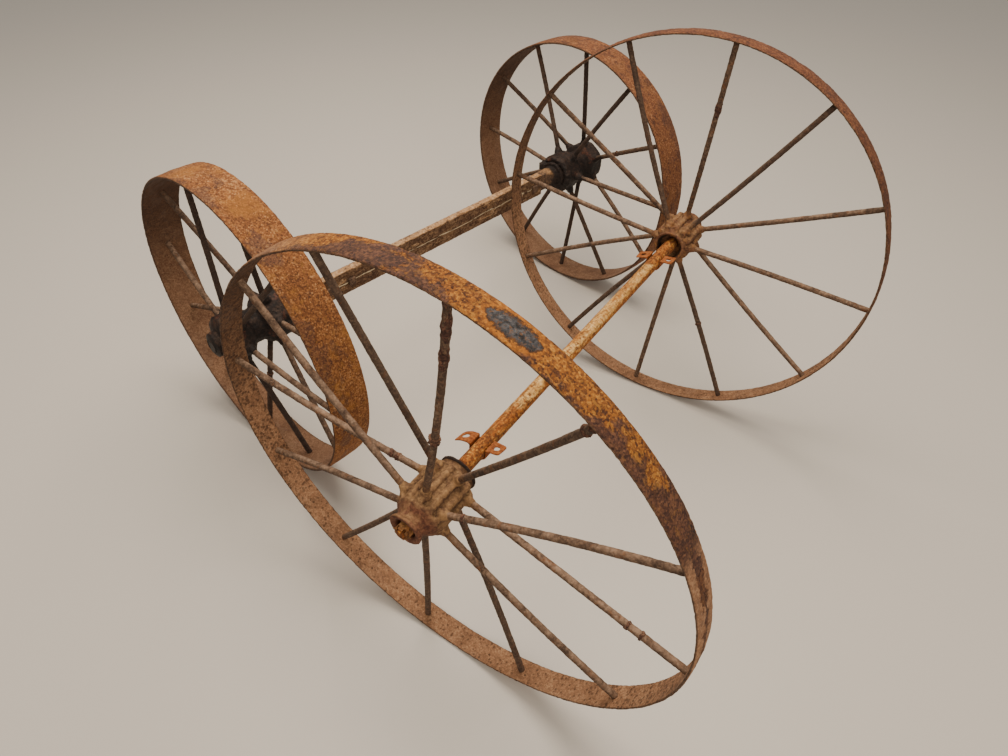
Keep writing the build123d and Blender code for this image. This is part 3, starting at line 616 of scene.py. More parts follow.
# Colours of the finishes, darkest first, as places on a ramp and sRGB hex
FINISHES = {
    "tread": ((0.0, "#462a1c"), (0.28, "#684021"), (0.5, "#875121"), (0.75, "#9f672a"), (1.0, "#b67f3a")),
    "tread_scale": ((0.0, "#291a17"), (0.45, "#452c24"), (1.0, "#6f4a37")),
    "tread_dust": ((0.0, "#72523c"), (0.5, "#92694b"), (1.0, "#b08764")),
    "tread_dark": ((0.0, "#2d1e15"), (0.5, "#452e20"), (1.0, "#5e412c")),
    "low_tread": (
        (0.0, "#583520"), (0.3, "#704527"), (0.55, "#865430"), (0.8, "#9a673b"), (1.0, "#b18357")),
    "low_tread_scale": ((0.0, "#33201a"), (0.5, "#4f3328"), (1.0, "#6d4632")),
    "low_tread_dust": ((0.0, "#694936"), (0.5, "#815e46"), (1.0, "#98765a")),
    "low_tread_dark": ((0.0, "#281a13"), (0.5, "#3d281c"), (1.0, "#543727")),
    "rod": ((0.0, "#402f25"), (0.5, "#5c4738"), (1.0, "#7b604b")),
    "rod_dark": ((0.0, "#201916"), (0.5, "#312622"), (1.0, "#473830")),
    "rod_dust": ((0.0, "#7f6450"), (0.5, "#957962"), (1.0, "#ab8e75")),
    "scab": ((0.0, "#2a1c18"), (0.5, "#4a3027"), (1.0, "#7a5340")),
    "scab_dark": ((0.0, "#191211"), (0.5, "#281c19"), (1.0, "#3e2b25")),
    "scab_dust": ((0.0, "#6b4a38"), (0.5, "#8f6a51"), (1.0, "#ad8767")),
    "hub": ((0.0, "#453022"), (0.5, "#664832"), (1.0, "#866443")),
    "hub_dark": ((0.0, "#22170f"), (0.5, "#3c291b"), (1.0, "#543b26")),
    "hub_dust": ((0.0, "#7c5c3c"), (0.5, "#97734d"), (1.0, "#b08c60")),
    "hub_nose": ((0.0, "#452820"), (0.5, "#663e2c"), (1.0, "#855840")),
    "bell": ((0.0, "#110b08"), (0.5, "#211611"), (1.0, "#38261c")),
    "grease": ((0.0, "#0e0b0a"), (0.5, "#1d1614"), (1.0, "#32251f")),
    "grease_dark": ((0.0, "#0a0808"), (0.5, "#141010"), (1.0, "#1f1816")),
    "grease_dust": ((0.0, "#38271e"), (0.5, "#553b2c"), (1.0, "#74563f")),
    "grease_tint": ((0.0, "#301912"), (0.5, "#552e1f"), (1.0, "#75462e")),
    "arm": ((0.0, "#33261e"), (0.5, "#554032"), (1.0, "#7d5f45")),
    "arm_dark": ((0.0, "#15100e"), (0.5, "#241b17"), (1.0, "#3a2c24")),
    "arm_dust": ((0.0, "#7a5a3c"), (0.5, "#a0774e"), (1.0, "#bd9465")),
    "bar_paint": ((0.0, "#a07034"), (0.5, "#c99a55"), (1.0, "#dfbd80")),
    "bar_rust": ((0.0, "#5f3416"), (0.4, "#935320"), (0.8, "#b0702f"), (1.0, "#c48d45")),
    "beam_paint": ((0.0, "#8e6641"), (0.5, "#ab835a"), (1.0, "#c8a782")),
    "beam_rust": ((0.0, "#3d2b20"), (0.5, "#624836"), (1.0, "#83654b")),
    "clip": ((0.0, "#5f2e10"), (0.5, "#86451b"), (1.0, "#a4602b")),
    "clip_dark": ((0.0, "#331b10"), (0.5, "#562d16"), (1.0, "#774020")),
    "clip_dust": ((0.0, "#7f4519"), (0.5, "#9a5c2a"), (1.0, "#b37a45")),
    "nut": ((0.0, "#4d2f1c"), (0.5, "#7d4f2b"), (1.0, "#a66f3c")),
    "nut_dark": ((0.0, "#22160f"), (0.5, "#3a281b"), (1.0, "#523a27")),
    "nut_dust": ((0.0, "#83603c"), (0.5, "#9f774c"), (1.0, "#b9925f")),
}


def shades(name, own=None):
    """Ramp of one finish, with the user's own colour in its middle where one is given."""
    ramp = FINISHES[name]
    middle = len(ramp) // 2
    return ramp if own is None else [(p, tuple(own) if i == middle else c) for i, (p, c) in enumerate(ramp)]


# How the tyres rusted, the low ones more evenly. Sizes are of the mottling's clouds, blotches and grains in
# millimetres; real grains are under a millimetre, and are drawn at 3 mm so that they show. The rest is how
# strongly each coat shows, and the height of the relief in metres.
TyreRust = namedtuple("TyreRust", "sizes bright dark ochre islands red pits relief")
TYRE_RUST = {
    "tread": TyreRust(sizes=(50.0, 12.0, 3.2), bright=0.0, dark=0.35, ochre=0.5, islands=0.9, red=0.85,
                      pits=1.0, relief=0.0016),
    "low_tread": TyreRust(sizes=(70.0, 6.5, 3.2), bright=0.4, dark=0.2, ochre=0.1, islands=0.5, red=0.5,
                          pits=0.3, relief=0.001),
}


def rolled_steel_tyre(name, finish, wear):
    """Hot-rolled steel tyre left outdoors: loose orange rust in grains on the tread, thick brown scale
    in ragged islands, and a dusty, pitted inside with painted shade where it faces down."""
    rust = TYRE_RUST[finish]
    tall = finish == "tread"
    material, tree, coords, surface = new_surface(name, roughness=0.9)
    tread, across, up = (node(tree, "ShaderNodeAttribute", attribute_name=label).outputs["Fac"]
                         for label in ("tread", "across", "up"))
    loose, grain = speckle(tree, coords, shades(finish, wear.rust if tall else None), rust.sizes, seed=0.0,
                           granular=0.2)
    old, dust, stain_and_shade, red = (speckle(tree, coords, ramp, rust.sizes, seed)[0] for ramp, seed in (
        (shades(finish + "_scale", wear.scale), 8.0), (shades(finish + "_dust"), 4.0),
        (shades(finish + "_dark"), 6.0), (shades("hub_nose"), 3.0)))
    off_middle = node(tree, "ShaderNodeMath", {0: across}, operation="ABSOLUTE")
    islands = scale_left(tree, coords, across)
    lengthwise = rolled(tree, coords)
    dark_grains = patches(tree, lengthwise, size=15.0, seed=7.7, low=0.52, high=0.6)
    ochre_grains = patches(tree, lengthwise, size=9.0, seed=5.5, low=0.55, high=0.61)
    bright = patches(tree, coords, size=75.0, seed=3.4, low=0.5, high=0.62)
    # The far wheels' treads rusted redder and darker than the near ones'.
    beyond = far_side(tree, coords)
    outer = coats(tree, loose, (masked(tree, bright, rust.bright), "#a86f2e"),
                  (masked(tree, dark_grains, rust.dark), old),
                  (masked(tree, ochre_grains, rust.ochre), "#b67a2c"),
                  (masked(tree, islands, rust.islands), old), (masked(tree, ochre_grains, 0.3), "#9a6a34"),
                  (masked(tree, beyond, rust.red), red), (masked(tree, beyond, dark_grains, 0.6), old),
                  (masked(tree, beyond, bright, 0.4), old))
    if tall:
        outer = near_tread_spots(tree, coords, outer, off_middle, loose, old, dust)
    inner, pit = pitted_inside(tree, coords, dust, stain_and_shade, up, off_middle, rust.pits)
    colour = coats(tree, inner, (masked(tree, (tread, 0.3, 0.8)), outer))
    height = summed(tree, (grain, 1.2), (islands, 0.5), (dark_grains, -0.15), (ochre_grains, 0.25),
                    (pit, -0.5))
    finish_surface(tree, surface, colour, height, depth=rust.relief,
                   roughness=summed(tree, (islands, -0.2), (1.0, 0.95)))
    return material


def near_tread_spots(tree, coords, outer, off_middle, loose, old, dust):
    """Coats of the near tall tread's own places: its dusty crest, its torn scale and its mill scale."""
    dusted = near_to(tree, coords, *DUSTY_CREST)
    # Low on the wheel the scale broke off clean along both edges, and left them smooth and tan.
    low = masked(tree, (near_to(tree, coords, *TORN_EDGES), 0.05, 0.3))
    chipped = patches(tree, coords, size=26.0, seed=9.9, low=0.35, high=0.65)
    torn = summed(tree, (off_middle, 1.0), (chipped, 0.5))
    # Blue-grey mill scale shows in one oval, ringed by bright rust.
    reaches = []
    for focus in MILL_SCALE:
        apart = node(tree, "ShaderNodeVectorMath", {0: coords, 1: focus}, operation="DISTANCE")
        reaches.append((apart.outputs["Value"], 1.0))
    ragged = node(tree, "ShaderNodeTexNoise", {
        "Vector": coords, "Scale": mm(9.0), "Detail": 7.0, "Roughness": 0.75, "W": 9.0},
        noise_dimensions="4D")
    oval = summed(tree, *reaches, (ragged, 0.03), (1.0, -0.015))
    ring = masked(tree, (oval, *RUST_RING))
    dark_edge = masked(tree, (oval, *DARK_EDGE), 0.8)
    inside = masked(tree, (oval, *BARE_STEEL))
    # Flecks of rust break the oval up at under 3 mm.
    flecked = patches(tree, coords, size=5.0, seed=3.1, low=0.54, high=0.6)
    steel = node(tree, "ShaderNodeValToRGB", {0: masked(tree, (ragged, 0.35, 0.65))},
                 stops=((0.0, "#242221"), (0.5, "#444345"), (1.0, "#626162")))
    return coats(tree, outer, (masked(tree, dusted, 0.8), dust), (masked(tree, low, 0.8), old),
                 (masked(tree, low, (torn, 0.5, 0.62)), dust), (masked(tree, ring, 0.8), loose),
                 (masked(tree, ring, 0.4), "#b56f26"), (dark_edge, "#2b211d"), (inside, steel.outputs[0]),
                 (masked(tree, inside, flecked, 0.55), "#7a5230"))


def pitted_inside(tree, coords, dust, stain_and_shade, up, off_middle, share):
    """Inside of a tyre band: stained and dusty, with painted shade where it faces down and pits crowded
    on its standing sides. They are a millimetre or two across, and are drawn at 4 mm. Gives the colour
    and the pits."""
    pits = node(tree, "ShaderNodeTexVoronoi", {"Vector": coords, "Scale": mm(7.5)}, feature="F1")
    kept = node(tree, "ShaderNodeSeparateColor", {0: pits.outputs["Color"]}).outputs[0]
    side_on = masked(tree, (up, 0.8, 0.4))
    crowd = summed(tree, (side_on, 0.4), (kept, 1.0))
    out_of_pit = summed(tree, (side_on, -0.1), (pits.outputs["Distance"], 1.0))
    pit = masked(tree, (out_of_pit, 0.42, 0.28), (crowd, 0.5, 0.8),
                 patches(tree, coords, size=26.0, seed=7.0, low=0.33, high=0.45), share)
    specks = patches(tree, coords, size=4.5, seed=1.4, low=0.56, high=0.62)
    rim_line = masked(tree, (off_middle, 0.9, 0.97))
    stained = patches(tree, coords, size=90.0, seed=5.7, low=0.5, high=0.62)
    # One dark colour serves the stains and specks, and is painted shade on what faces down.
    inner = coats(tree, dust, (masked(tree, stained, 0.25), stain_and_shade),
                  (masked(tree, (up, 0.3, -0.6), 0.85), stain_and_shade), (masked(tree, specks, 0.3), stain_and_shade),
                  (masked(tree, pit, 0.6), "#3a281e"), (masked(tree, rim_line, 0.6), "#30221a"))
    return inner, pit


def old_iron(name, finish, sizes, roughness=0.85, relief=0.0012, under=0.7, scaled=0.6, dusting=0.7,
             hollow_shade=0.8, zones=None, own=None):
    """Bare iron that rusted to a grey-brown skin, dark in patches of scale, with pale dust on what faces up,
    and painted shade that darkens what faces down and its hollows. Its sizes are of the mottling's clouds,
    blotches and grains."""
    material, tree, coords, surface = new_surface(name, roughness)
    colour, height = speckle(tree, coords, shades(finish, own), sizes, seed=0.0)
    deep, _ = speckle(tree, coords, shades(finish + "_dark"), sizes, seed=5.0)
    light, _ = speckle(tree, coords, shades(finish + "_dust"), sizes, seed=2.0)
    up, hollow, covered = (node(tree, "ShaderNodeAttribute", attribute_name=label).outputs["Fac"]
                           for label in ("up", "hollow", "covered"))
    if zones:
        colour = zones(tree, coords, colour)
    scale = patches(tree, coords, size=sizes[0] * 1.6, seed=3.3, low=scaled, high=scaled + SOFT_EDGE)
    drifts = patches(tree, coords, size=sizes[1] * 2.2, seed=4.4, low=0.38, high=0.6)
    dusty = masked(tree, drifts, (up, 0.05, 0.9), (covered, 1.0, 0.0), dusting)
    # Painted shade: the under share darkens what faces down and the hollows' share darkens the hollows; the
    # patches of scale are the iron's own.
    colour = coats(tree, colour, (masked(tree, (up, 0.2, -0.8), under), deep),
                   (masked(tree, scale, 0.65), deep),
                   (masked(tree, (hollow, 0.2, 1.1), (covered, 1.0, 0.0), hollow_shade), deep), (dusty, light))
    finish_surface(tree, surface, colour, summed(tree, (height, 1.3), (scale, 0.25), (dusty, 0.1)), relief)
    return material


def worn_paint(name, finish, own, size, turn, lift, specks, trim=None):
    """Oil paint brushed on steel that weathered away in streaks along its length: chalky pale paint,
    pinholes, and rust where it came off."""
    material, tree, coords, surface = new_surface(name, roughness=0.75)
    cream, _ = speckle(tree, coords, shades(finish + "_paint", own), PAINT_GRAIN, seed=0.0)
    bare, pitted = speckle(tree, coords, shades(finish + "_rust"), PAINT_GRAIN, seed=5.0, granular=0.2)
    lengthwise = node(tree, "ShaderNodeMapping", {
        "Vector": coords, "Rotation": (0, 0, turn), "Scale": (1, 3.6, 1)}, vector_type="TEXTURE")
    cover = lift(tree, coords)
    left = patches(tree, lengthwise, size=size, seed=6.0, low=0.5, high=0.56, lift=cover)
    thin = patches(tree, lengthwise, size=size * 0.8, seed=2.4, low=0.4, high=0.62, lift=cover)
    holes = patches(tree, coords, size=8.0, seed=9.4, low=specks, high=specks + SOFT_EDGE)
    streaks = patches(tree, lengthwise, size=5.5, seed=3.9, low=0.54, high=0.6,
                      lift=summed(tree, (cover, -0.25)))
    colour = coats(tree, bare, (masked(tree, thin, 0.45), cream), (masked(tree, left, 0.92), cream),
                   (masked(tree, holes, 0.85), bare), (masked(tree, streaks, 0.6), "#4a2e1c"))
    height = summed(tree, (pitted, 0.9), (left, 0.5), (holes, -0.35))
    if trim:
        colour, height = trim(tree, lengthwise, colour, height)
    finish_surface(tree, surface, colour, height, depth=0.0011,
                   roughness=summed(tree, (left, -0.26), (1.0, 0.92)))
    return material


# Pieces


# How a piece is worn: size of its remesh voxels and depth of its relief in metres, size of that relief in
# millimetres, seed of its noise, smoothing steps, and thickness of the crust where it is crusted
Worn = namedtuple("Worn", "voxel depth grain seed ease crust", defaults=(3, 0.0))


def worn_piece(name, nodes, body, material, worn, extra=(), reshape=None, marks=None):
    """Rebuild CAD nodes as one worn piece: remeshed with any extra solids, its edges eased, its faces
    uneven, and replacing the nodes."""
    places = []
    faces = []
    for cad in nodes:
        mesh = frame["nodes"][cad].data
        start = len(places)
        places += [v.co.copy() for v in mesh.vertices]
        faces += [[start + i for i in p.vertices] for p in mesh.polygons]
    for more_places, more_faces in extra:
        start = len(places)
        places += more_places
        faces += [[start + i for i in face] for face in more_faces]
    source = bpy.data.meshes.new(name + "_source")
    source.from_pydata(places, [], faces)
    carrier = bpy.data.objects.new(name + "_shaped", source)
    bpy.context.scene.collection.objects.link(carrier)
    weld = carrier.modifiers.new("Weld", "WELD")
    weld.merge_threshold = 1e-6
    remesh = carrier.modifiers.new("Remesh", "REMESH")
    remesh.mode = "VOXEL"
    remesh.voxel_size = worn.voxel
    smooth = carrier.modifiers.new("Smooth", "SMOOTH")
    smooth.factor = 0.5
    smooth.iterations = worn.ease
    depsgraph = bpy.context.evaluated_depsgraph_get()
    shaped = bpy.data.meshes.new_from_object(carrier.evaluated_get(depsgraph))
    bpy.data.objects.remove(carrier)
    if reshape:
        shaped.vertices.foreach_set("co", reshape(points_of(shaped)).ravel())
    for label, values in (marks(points_of(shaped)) if marks else {}).items():
        shaped.attributes.new(label, "FLOAT", "POINT").data.foreach_set("value", values)
    piece = grown(name, "iron_relief", {
        "Depth": worn.depth, "Grains Per Metre": mm(worn.grain), "Crust": worn.crust,
        "Seed": float(worn.seed), "Material": material}, shaped)
    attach(piece, body)
    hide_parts(*nodes)
    return piece


def turned(place, profile, steps=48):
    """Closed solid turned round a place's z axis from points (radius, height), in metres."""
    count = len(profile)
    angles = [2 * pi * i / steps for i in range(steps)]
    points = [place @ Vector((r * cos(a), r * sin(a), z)) for a in angles for r, z in profile]
    faces = [(i * count + j, (i + 1) % steps * count + j, (i + 1) % steps * count + (j + 1) % count,
              i * count + (j + 1) % count) for i in range(steps) for j in range(count)]
    return points, faces


def boss(row, sizes, side, turn, profile):
    """Closed solid turned round the root of one rod, where the iron was poured round it."""
    root = Vector((sizes.root * cos(turn), sizes.root * sin(turn), side * sizes.row))
    reach = sizes.radius - sizes.thickness
    way = Vector((reach * cos(turn), reach * sin(turn), 0)) - root
    stand = way.to_track_quat("Z", "Y").to_matrix().to_4x4()
    return turned(wheel_matrix(row) @ Matrix.Translation(root) @ stand, profile, steps=20)


def block(row, low, high):
    """Closed block between two corners in a wheel's own place, in metres."""
    place = wheel_matrix(row)
    points = [place @ Vector((x, y, z)) for x in (low[0], high[0]) for y in (low[1], high[1])
              for z in (low[2], high[2])]
    return points, [(0, 1, 3, 2), (4, 6, 7, 5), (0, 4, 5, 1), (2, 3, 7, 6), (0, 2, 6, 4), (1, 5, 7, 3)]


def band_section(sizes):
    """Section of a tyre band as a closed wire: x out from the wheel's radius, y across it, and how far each
    point belongs to the tread."""
    half = sizes.width / 2
    edge = sizes.edge
    points = []
    steps = max(10, int(sizes.width / SECTION_STEP))
    for i in range(steps + 1):
        place = -half + edge + (sizes.width - 2 * edge) * i / steps
        points.append((-sizes.crown * (place / half) ** 2, place, 1.0))
    for i in range(1, 4):
        turn = pi / 2 * i / 4
        points.append((-sizes.crown - edge * (1 - cos(turn)), half - edge * (1 - sin(turn)), 1.0 - 0.2 * i))
    points.append((-sizes.thickness + edge, half, 0.2))
    for i in range(1, 3):
        turn = pi / 2 * i / 3
        points.append((-sizes.thickness + edge * (1 - sin(turn)), half - edge * (1 - cos(turn)), 0.1))
    for i in range(steps + 1):
        place = half - edge - (sizes.width - 2 * edge) * i / steps
        points.append((-sizes.thickness, place, 0.0))
    for i in range(1, 3):
        turn = pi / 2 * i / 3
        points.append((-sizes.thickness + edge * (1 - cos(turn)), -half + edge * (1 - sin(turn)), 0.1))
    points.append((-sizes.thickness + edge, -half, 0.2))
    for i in range(1, 4):
        turn = pi / 2 * i / 4
        points.append((-sizes.crown - edge * (1 - sin(turn)), -half + edge * (1 - cos(turn)), 0.2 + 0.2 * i))
    mesh = bpy.data.meshes.new("band_section")
    count = len(points)
    mesh.from_pydata([(x, y, 0) for x, y, _ in points], [(i, (i + 1) % count) for i in range(count)], [])
    for label, values in (("tread", [tread for _, _, tread in points]),
                          ("across", [y / half for _, y, _ in points])):
        mesh.attributes.new(label, "FLOAT", "POINT").data.foreach_set("value", values)
    return mesh


def sizes_of(context, row):
    """Settings of the kind of wheel that a row is."""
    return context.scene.wagon_tall if row.axle == "bar" else context.scene.wagon_low


class WAGON_OT_tyres(bpy.types.Operator):
    """Sweep the four tyre bands and let rust eat them"""

    bl_idname = "wagon.tyres"
    bl_label = "Tyres"

    def execute(self, context):
        wear = context.scene.wagon_wear
        tall = rolled_steel_tyre("rolled_steel_tall_tyre", "tread", wear)
        low = rolled_steel_tyre("rolled_steel_low_tyre", "low_tread", wear)
        for row in WHEELS:
            sizes = sizes_of(context, row)
            place = wheel_matrix(row)
            piece = grown(row.name + "_tyre", "tyre_band", {
                "Centre": place.translation, "Turn": Vector(place.to_euler()), "Radius": sizes.radius,
                "Around": sizes.around, "Flake Depth": wear.flake_depth, "Pit Depth": wear.pit_depth,
                "Material": tall if row.axle == "bar" else low}, band_section(sizes))
            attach(piece, "wheel_" + row.name)
            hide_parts(row.name + "_rim")
        return {"FINISHED"}


class WAGON_OT_spokes(bpy.types.Operator):
    """Grow the two rows of rods of each wheel, and the scabs of scale on them"""

    bl_idname = "wagon.spokes"
    bl_label = "Spokes"

    def execute(self, context):
        # Drawn mild steel rod that rusted to a matt grey-brown skin, dusty where it lies level. On the tall
        # wheels the casting's brown creeps on to it, and on the low ones grease blackens it.
        rod_look = {"sizes": (30.0, 9.0, 3.6), "under": 0.75, "scaled": 0.6, "dusting": 0.8}
        tall_rod = old_iron("rusted_tall_rod", "rod", zones=self.cast_in, **rod_look)
        low_rod = old_iron("rusted_low_rod", "rod", zones=self.greased, **rod_look)
        # Rust that swelled up in layers round the rod: crumbly, darker and redder than the rod itself.
        crusty = old_iron("swollen_scale_on_rod", "scab", (12.0, 6.0, 3.4), under=0.5, scaled=0.6,
                          dusting=0.6)
        for row in WHEELS:
            sizes = sizes_of(context, row)
            place = wheel_matrix(row)
            kind, rusty = ("tall_spokes", tall_rod) if row.axle == "bar" else ("low_spokes", low_rod)
            # On the tall wheels the outer row is the paler one; the inner row's darker coat is partly soot
            # and
            #             partly painted shade.
            for label, side, shift, soot_and_shade in (("outer", 1, 0, 0.3), ("inner", -1, INNER_TURN, 0.75)):
                name = f"{row.name}_spokes_{label}"
                piece = grown(name + "_rods", "spoke_row", {
                    "Centre": place.translation, "Turn": Vector(place.to_euler()), "Count": ROW_RODS,
                    "First Angle": radians(row.first_spoke + shift), "Root": sizes.root,
                    "Row": side * sizes.row, "Rim": sizes.radius - sizes.thickness,
                    "Rod Radius": sizes.rod / 2, "Foot Radius": sizes.foot, "Foot Length": sizes.foot_length,
                    "Bend": sizes.bend, "Soot": soot_and_shade if row.axle == "bar" else 1.0,
                    "Seed": row.seed + side, "Material": rusty}, bpy.data.meshes.new(name))
                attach(piece, "wheel_" + row.name)
                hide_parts(name)
                self.scabs(name, piece, row, side, kind, crusty)
        return {"FINISHED"}

    @staticmethod
    def rod_wear(tree, coords, soot_and_shade_share):
        """How near the hub a rod's point is, and two coats that all rods have: flecks of rust, and a dark
        coat that is partly soot and partly painted shade.
        """
        root, soot_and_shade_mask = (node(tree, "ShaderNodeAttribute", attribute_name=label).outputs["Fac"]
                       for label in ("root", "covered"))
        soot_and_shade, _ = speckle(tree, coords, shades("rod_dark"), CAST_GRAIN, seed=7.0)
        rusty = patches(tree, coords, size=14.0, seed=6.3, low=0.55, high=0.61)
        return root, (masked(tree, rusty, 0.6), "#80502f"), (masked(tree, soot_and_shade_mask, soot_and_shade_share), soot_and_shade)

    @classmethod
    def cast_in(cls, tree, coords, colour):
        """The hub's brown creeps on to the first finger's width of each rod."""
        root, rusty, soot_and_shade_mask = cls.rod_wear(tree, coords, 0.85)
        brown, _ = speckle(tree, coords, shades("hub"), CAST_GRAIN, seed=0.0)
        uneven = patches(tree, coords, size=12.0, seed=1.1, low=0.4, high=0.6)
        ragged = summed(tree, (root, 1.0), (uneven, 0.1))
        pale = patches(tree, coords, size=10.0, seed=2.9, low=0.55, high=0.62)
        return coats(tree, colour, rusty, (masked(tree, pale, 0.5), "#a08369"), soot_and_shade_mask,
                     (masked(tree, (ragged, 0.66, 0.82)), brown))

    @classmethod
    def greased(cls, tree, coords, colour):
        """Old grease blackens each rod for a hand's width from the hub."""
        root, rusty, soot_and_shade_mask = cls.rod_wear(tree, coords, 0.9)
        grease, _ = speckle(tree, coords, shades("grease"), CAST_GRAIN, seed=0.0)
        uneven = patches(tree, coords, size=24.0, seed=1.1, low=0.4, high=0.6)
        ragged = summed(tree, (root, 1.0), (uneven, 0.25))
        return coats(tree, colour, rusty, soot_and_shade_mask, (masked(tree, (ragged, 0.55, 0.95), 0.95), grease))

    def scabs(self, name, rods, row, side, kind, material):
        """Grow the scabs of one row of rods, each round the middle of its rod at its place."""
        scabs = [scab for scab in SCABS if scab.wheel == row.name and scab.side == side]
        if not scabs:
            return
        lines = points_of(rods.data).reshape(ROW_RODS, ROD_STEPS, ROD_SIDES, 3).mean(axis=2)
        spots, rod_ways, girths = [], [], []
        for scab in scabs:
            line = lines[scab.spoke]
            lengths = np.concatenate(([0], np.cumsum(np.linalg.norm(np.diff(line, axis=0), axis=1))))
            at = int(np.searchsorted(lengths, scab.place / 1000))
            spots.append(line[at])
            rod_ways.append(line[at + 1] - line[at - 1])
            # Half of each size, in metres
            girths.append((scab.girth / 2000, scab.girth / 2000, scab.length / 2000))
        source = bpy.data.meshes.new(name + "_spots")
        source.from_pydata(spots, [], [])
        source.attributes.new("rod", "FLOAT_VECTOR", "POINT").data.foreach_set("vector", np.ravel(rod_ways))
        source.attributes.new("size", "FLOAT_VECTOR", "POINT").data.foreach_set("vector", np.ravel(girths))
        piece = grown(name + "_scabs", "rod_scabs", {
            "Roughness Depth": SCAB_CRUMBS, "Material": material}, source)
        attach(piece, "wheel_" + row.name)


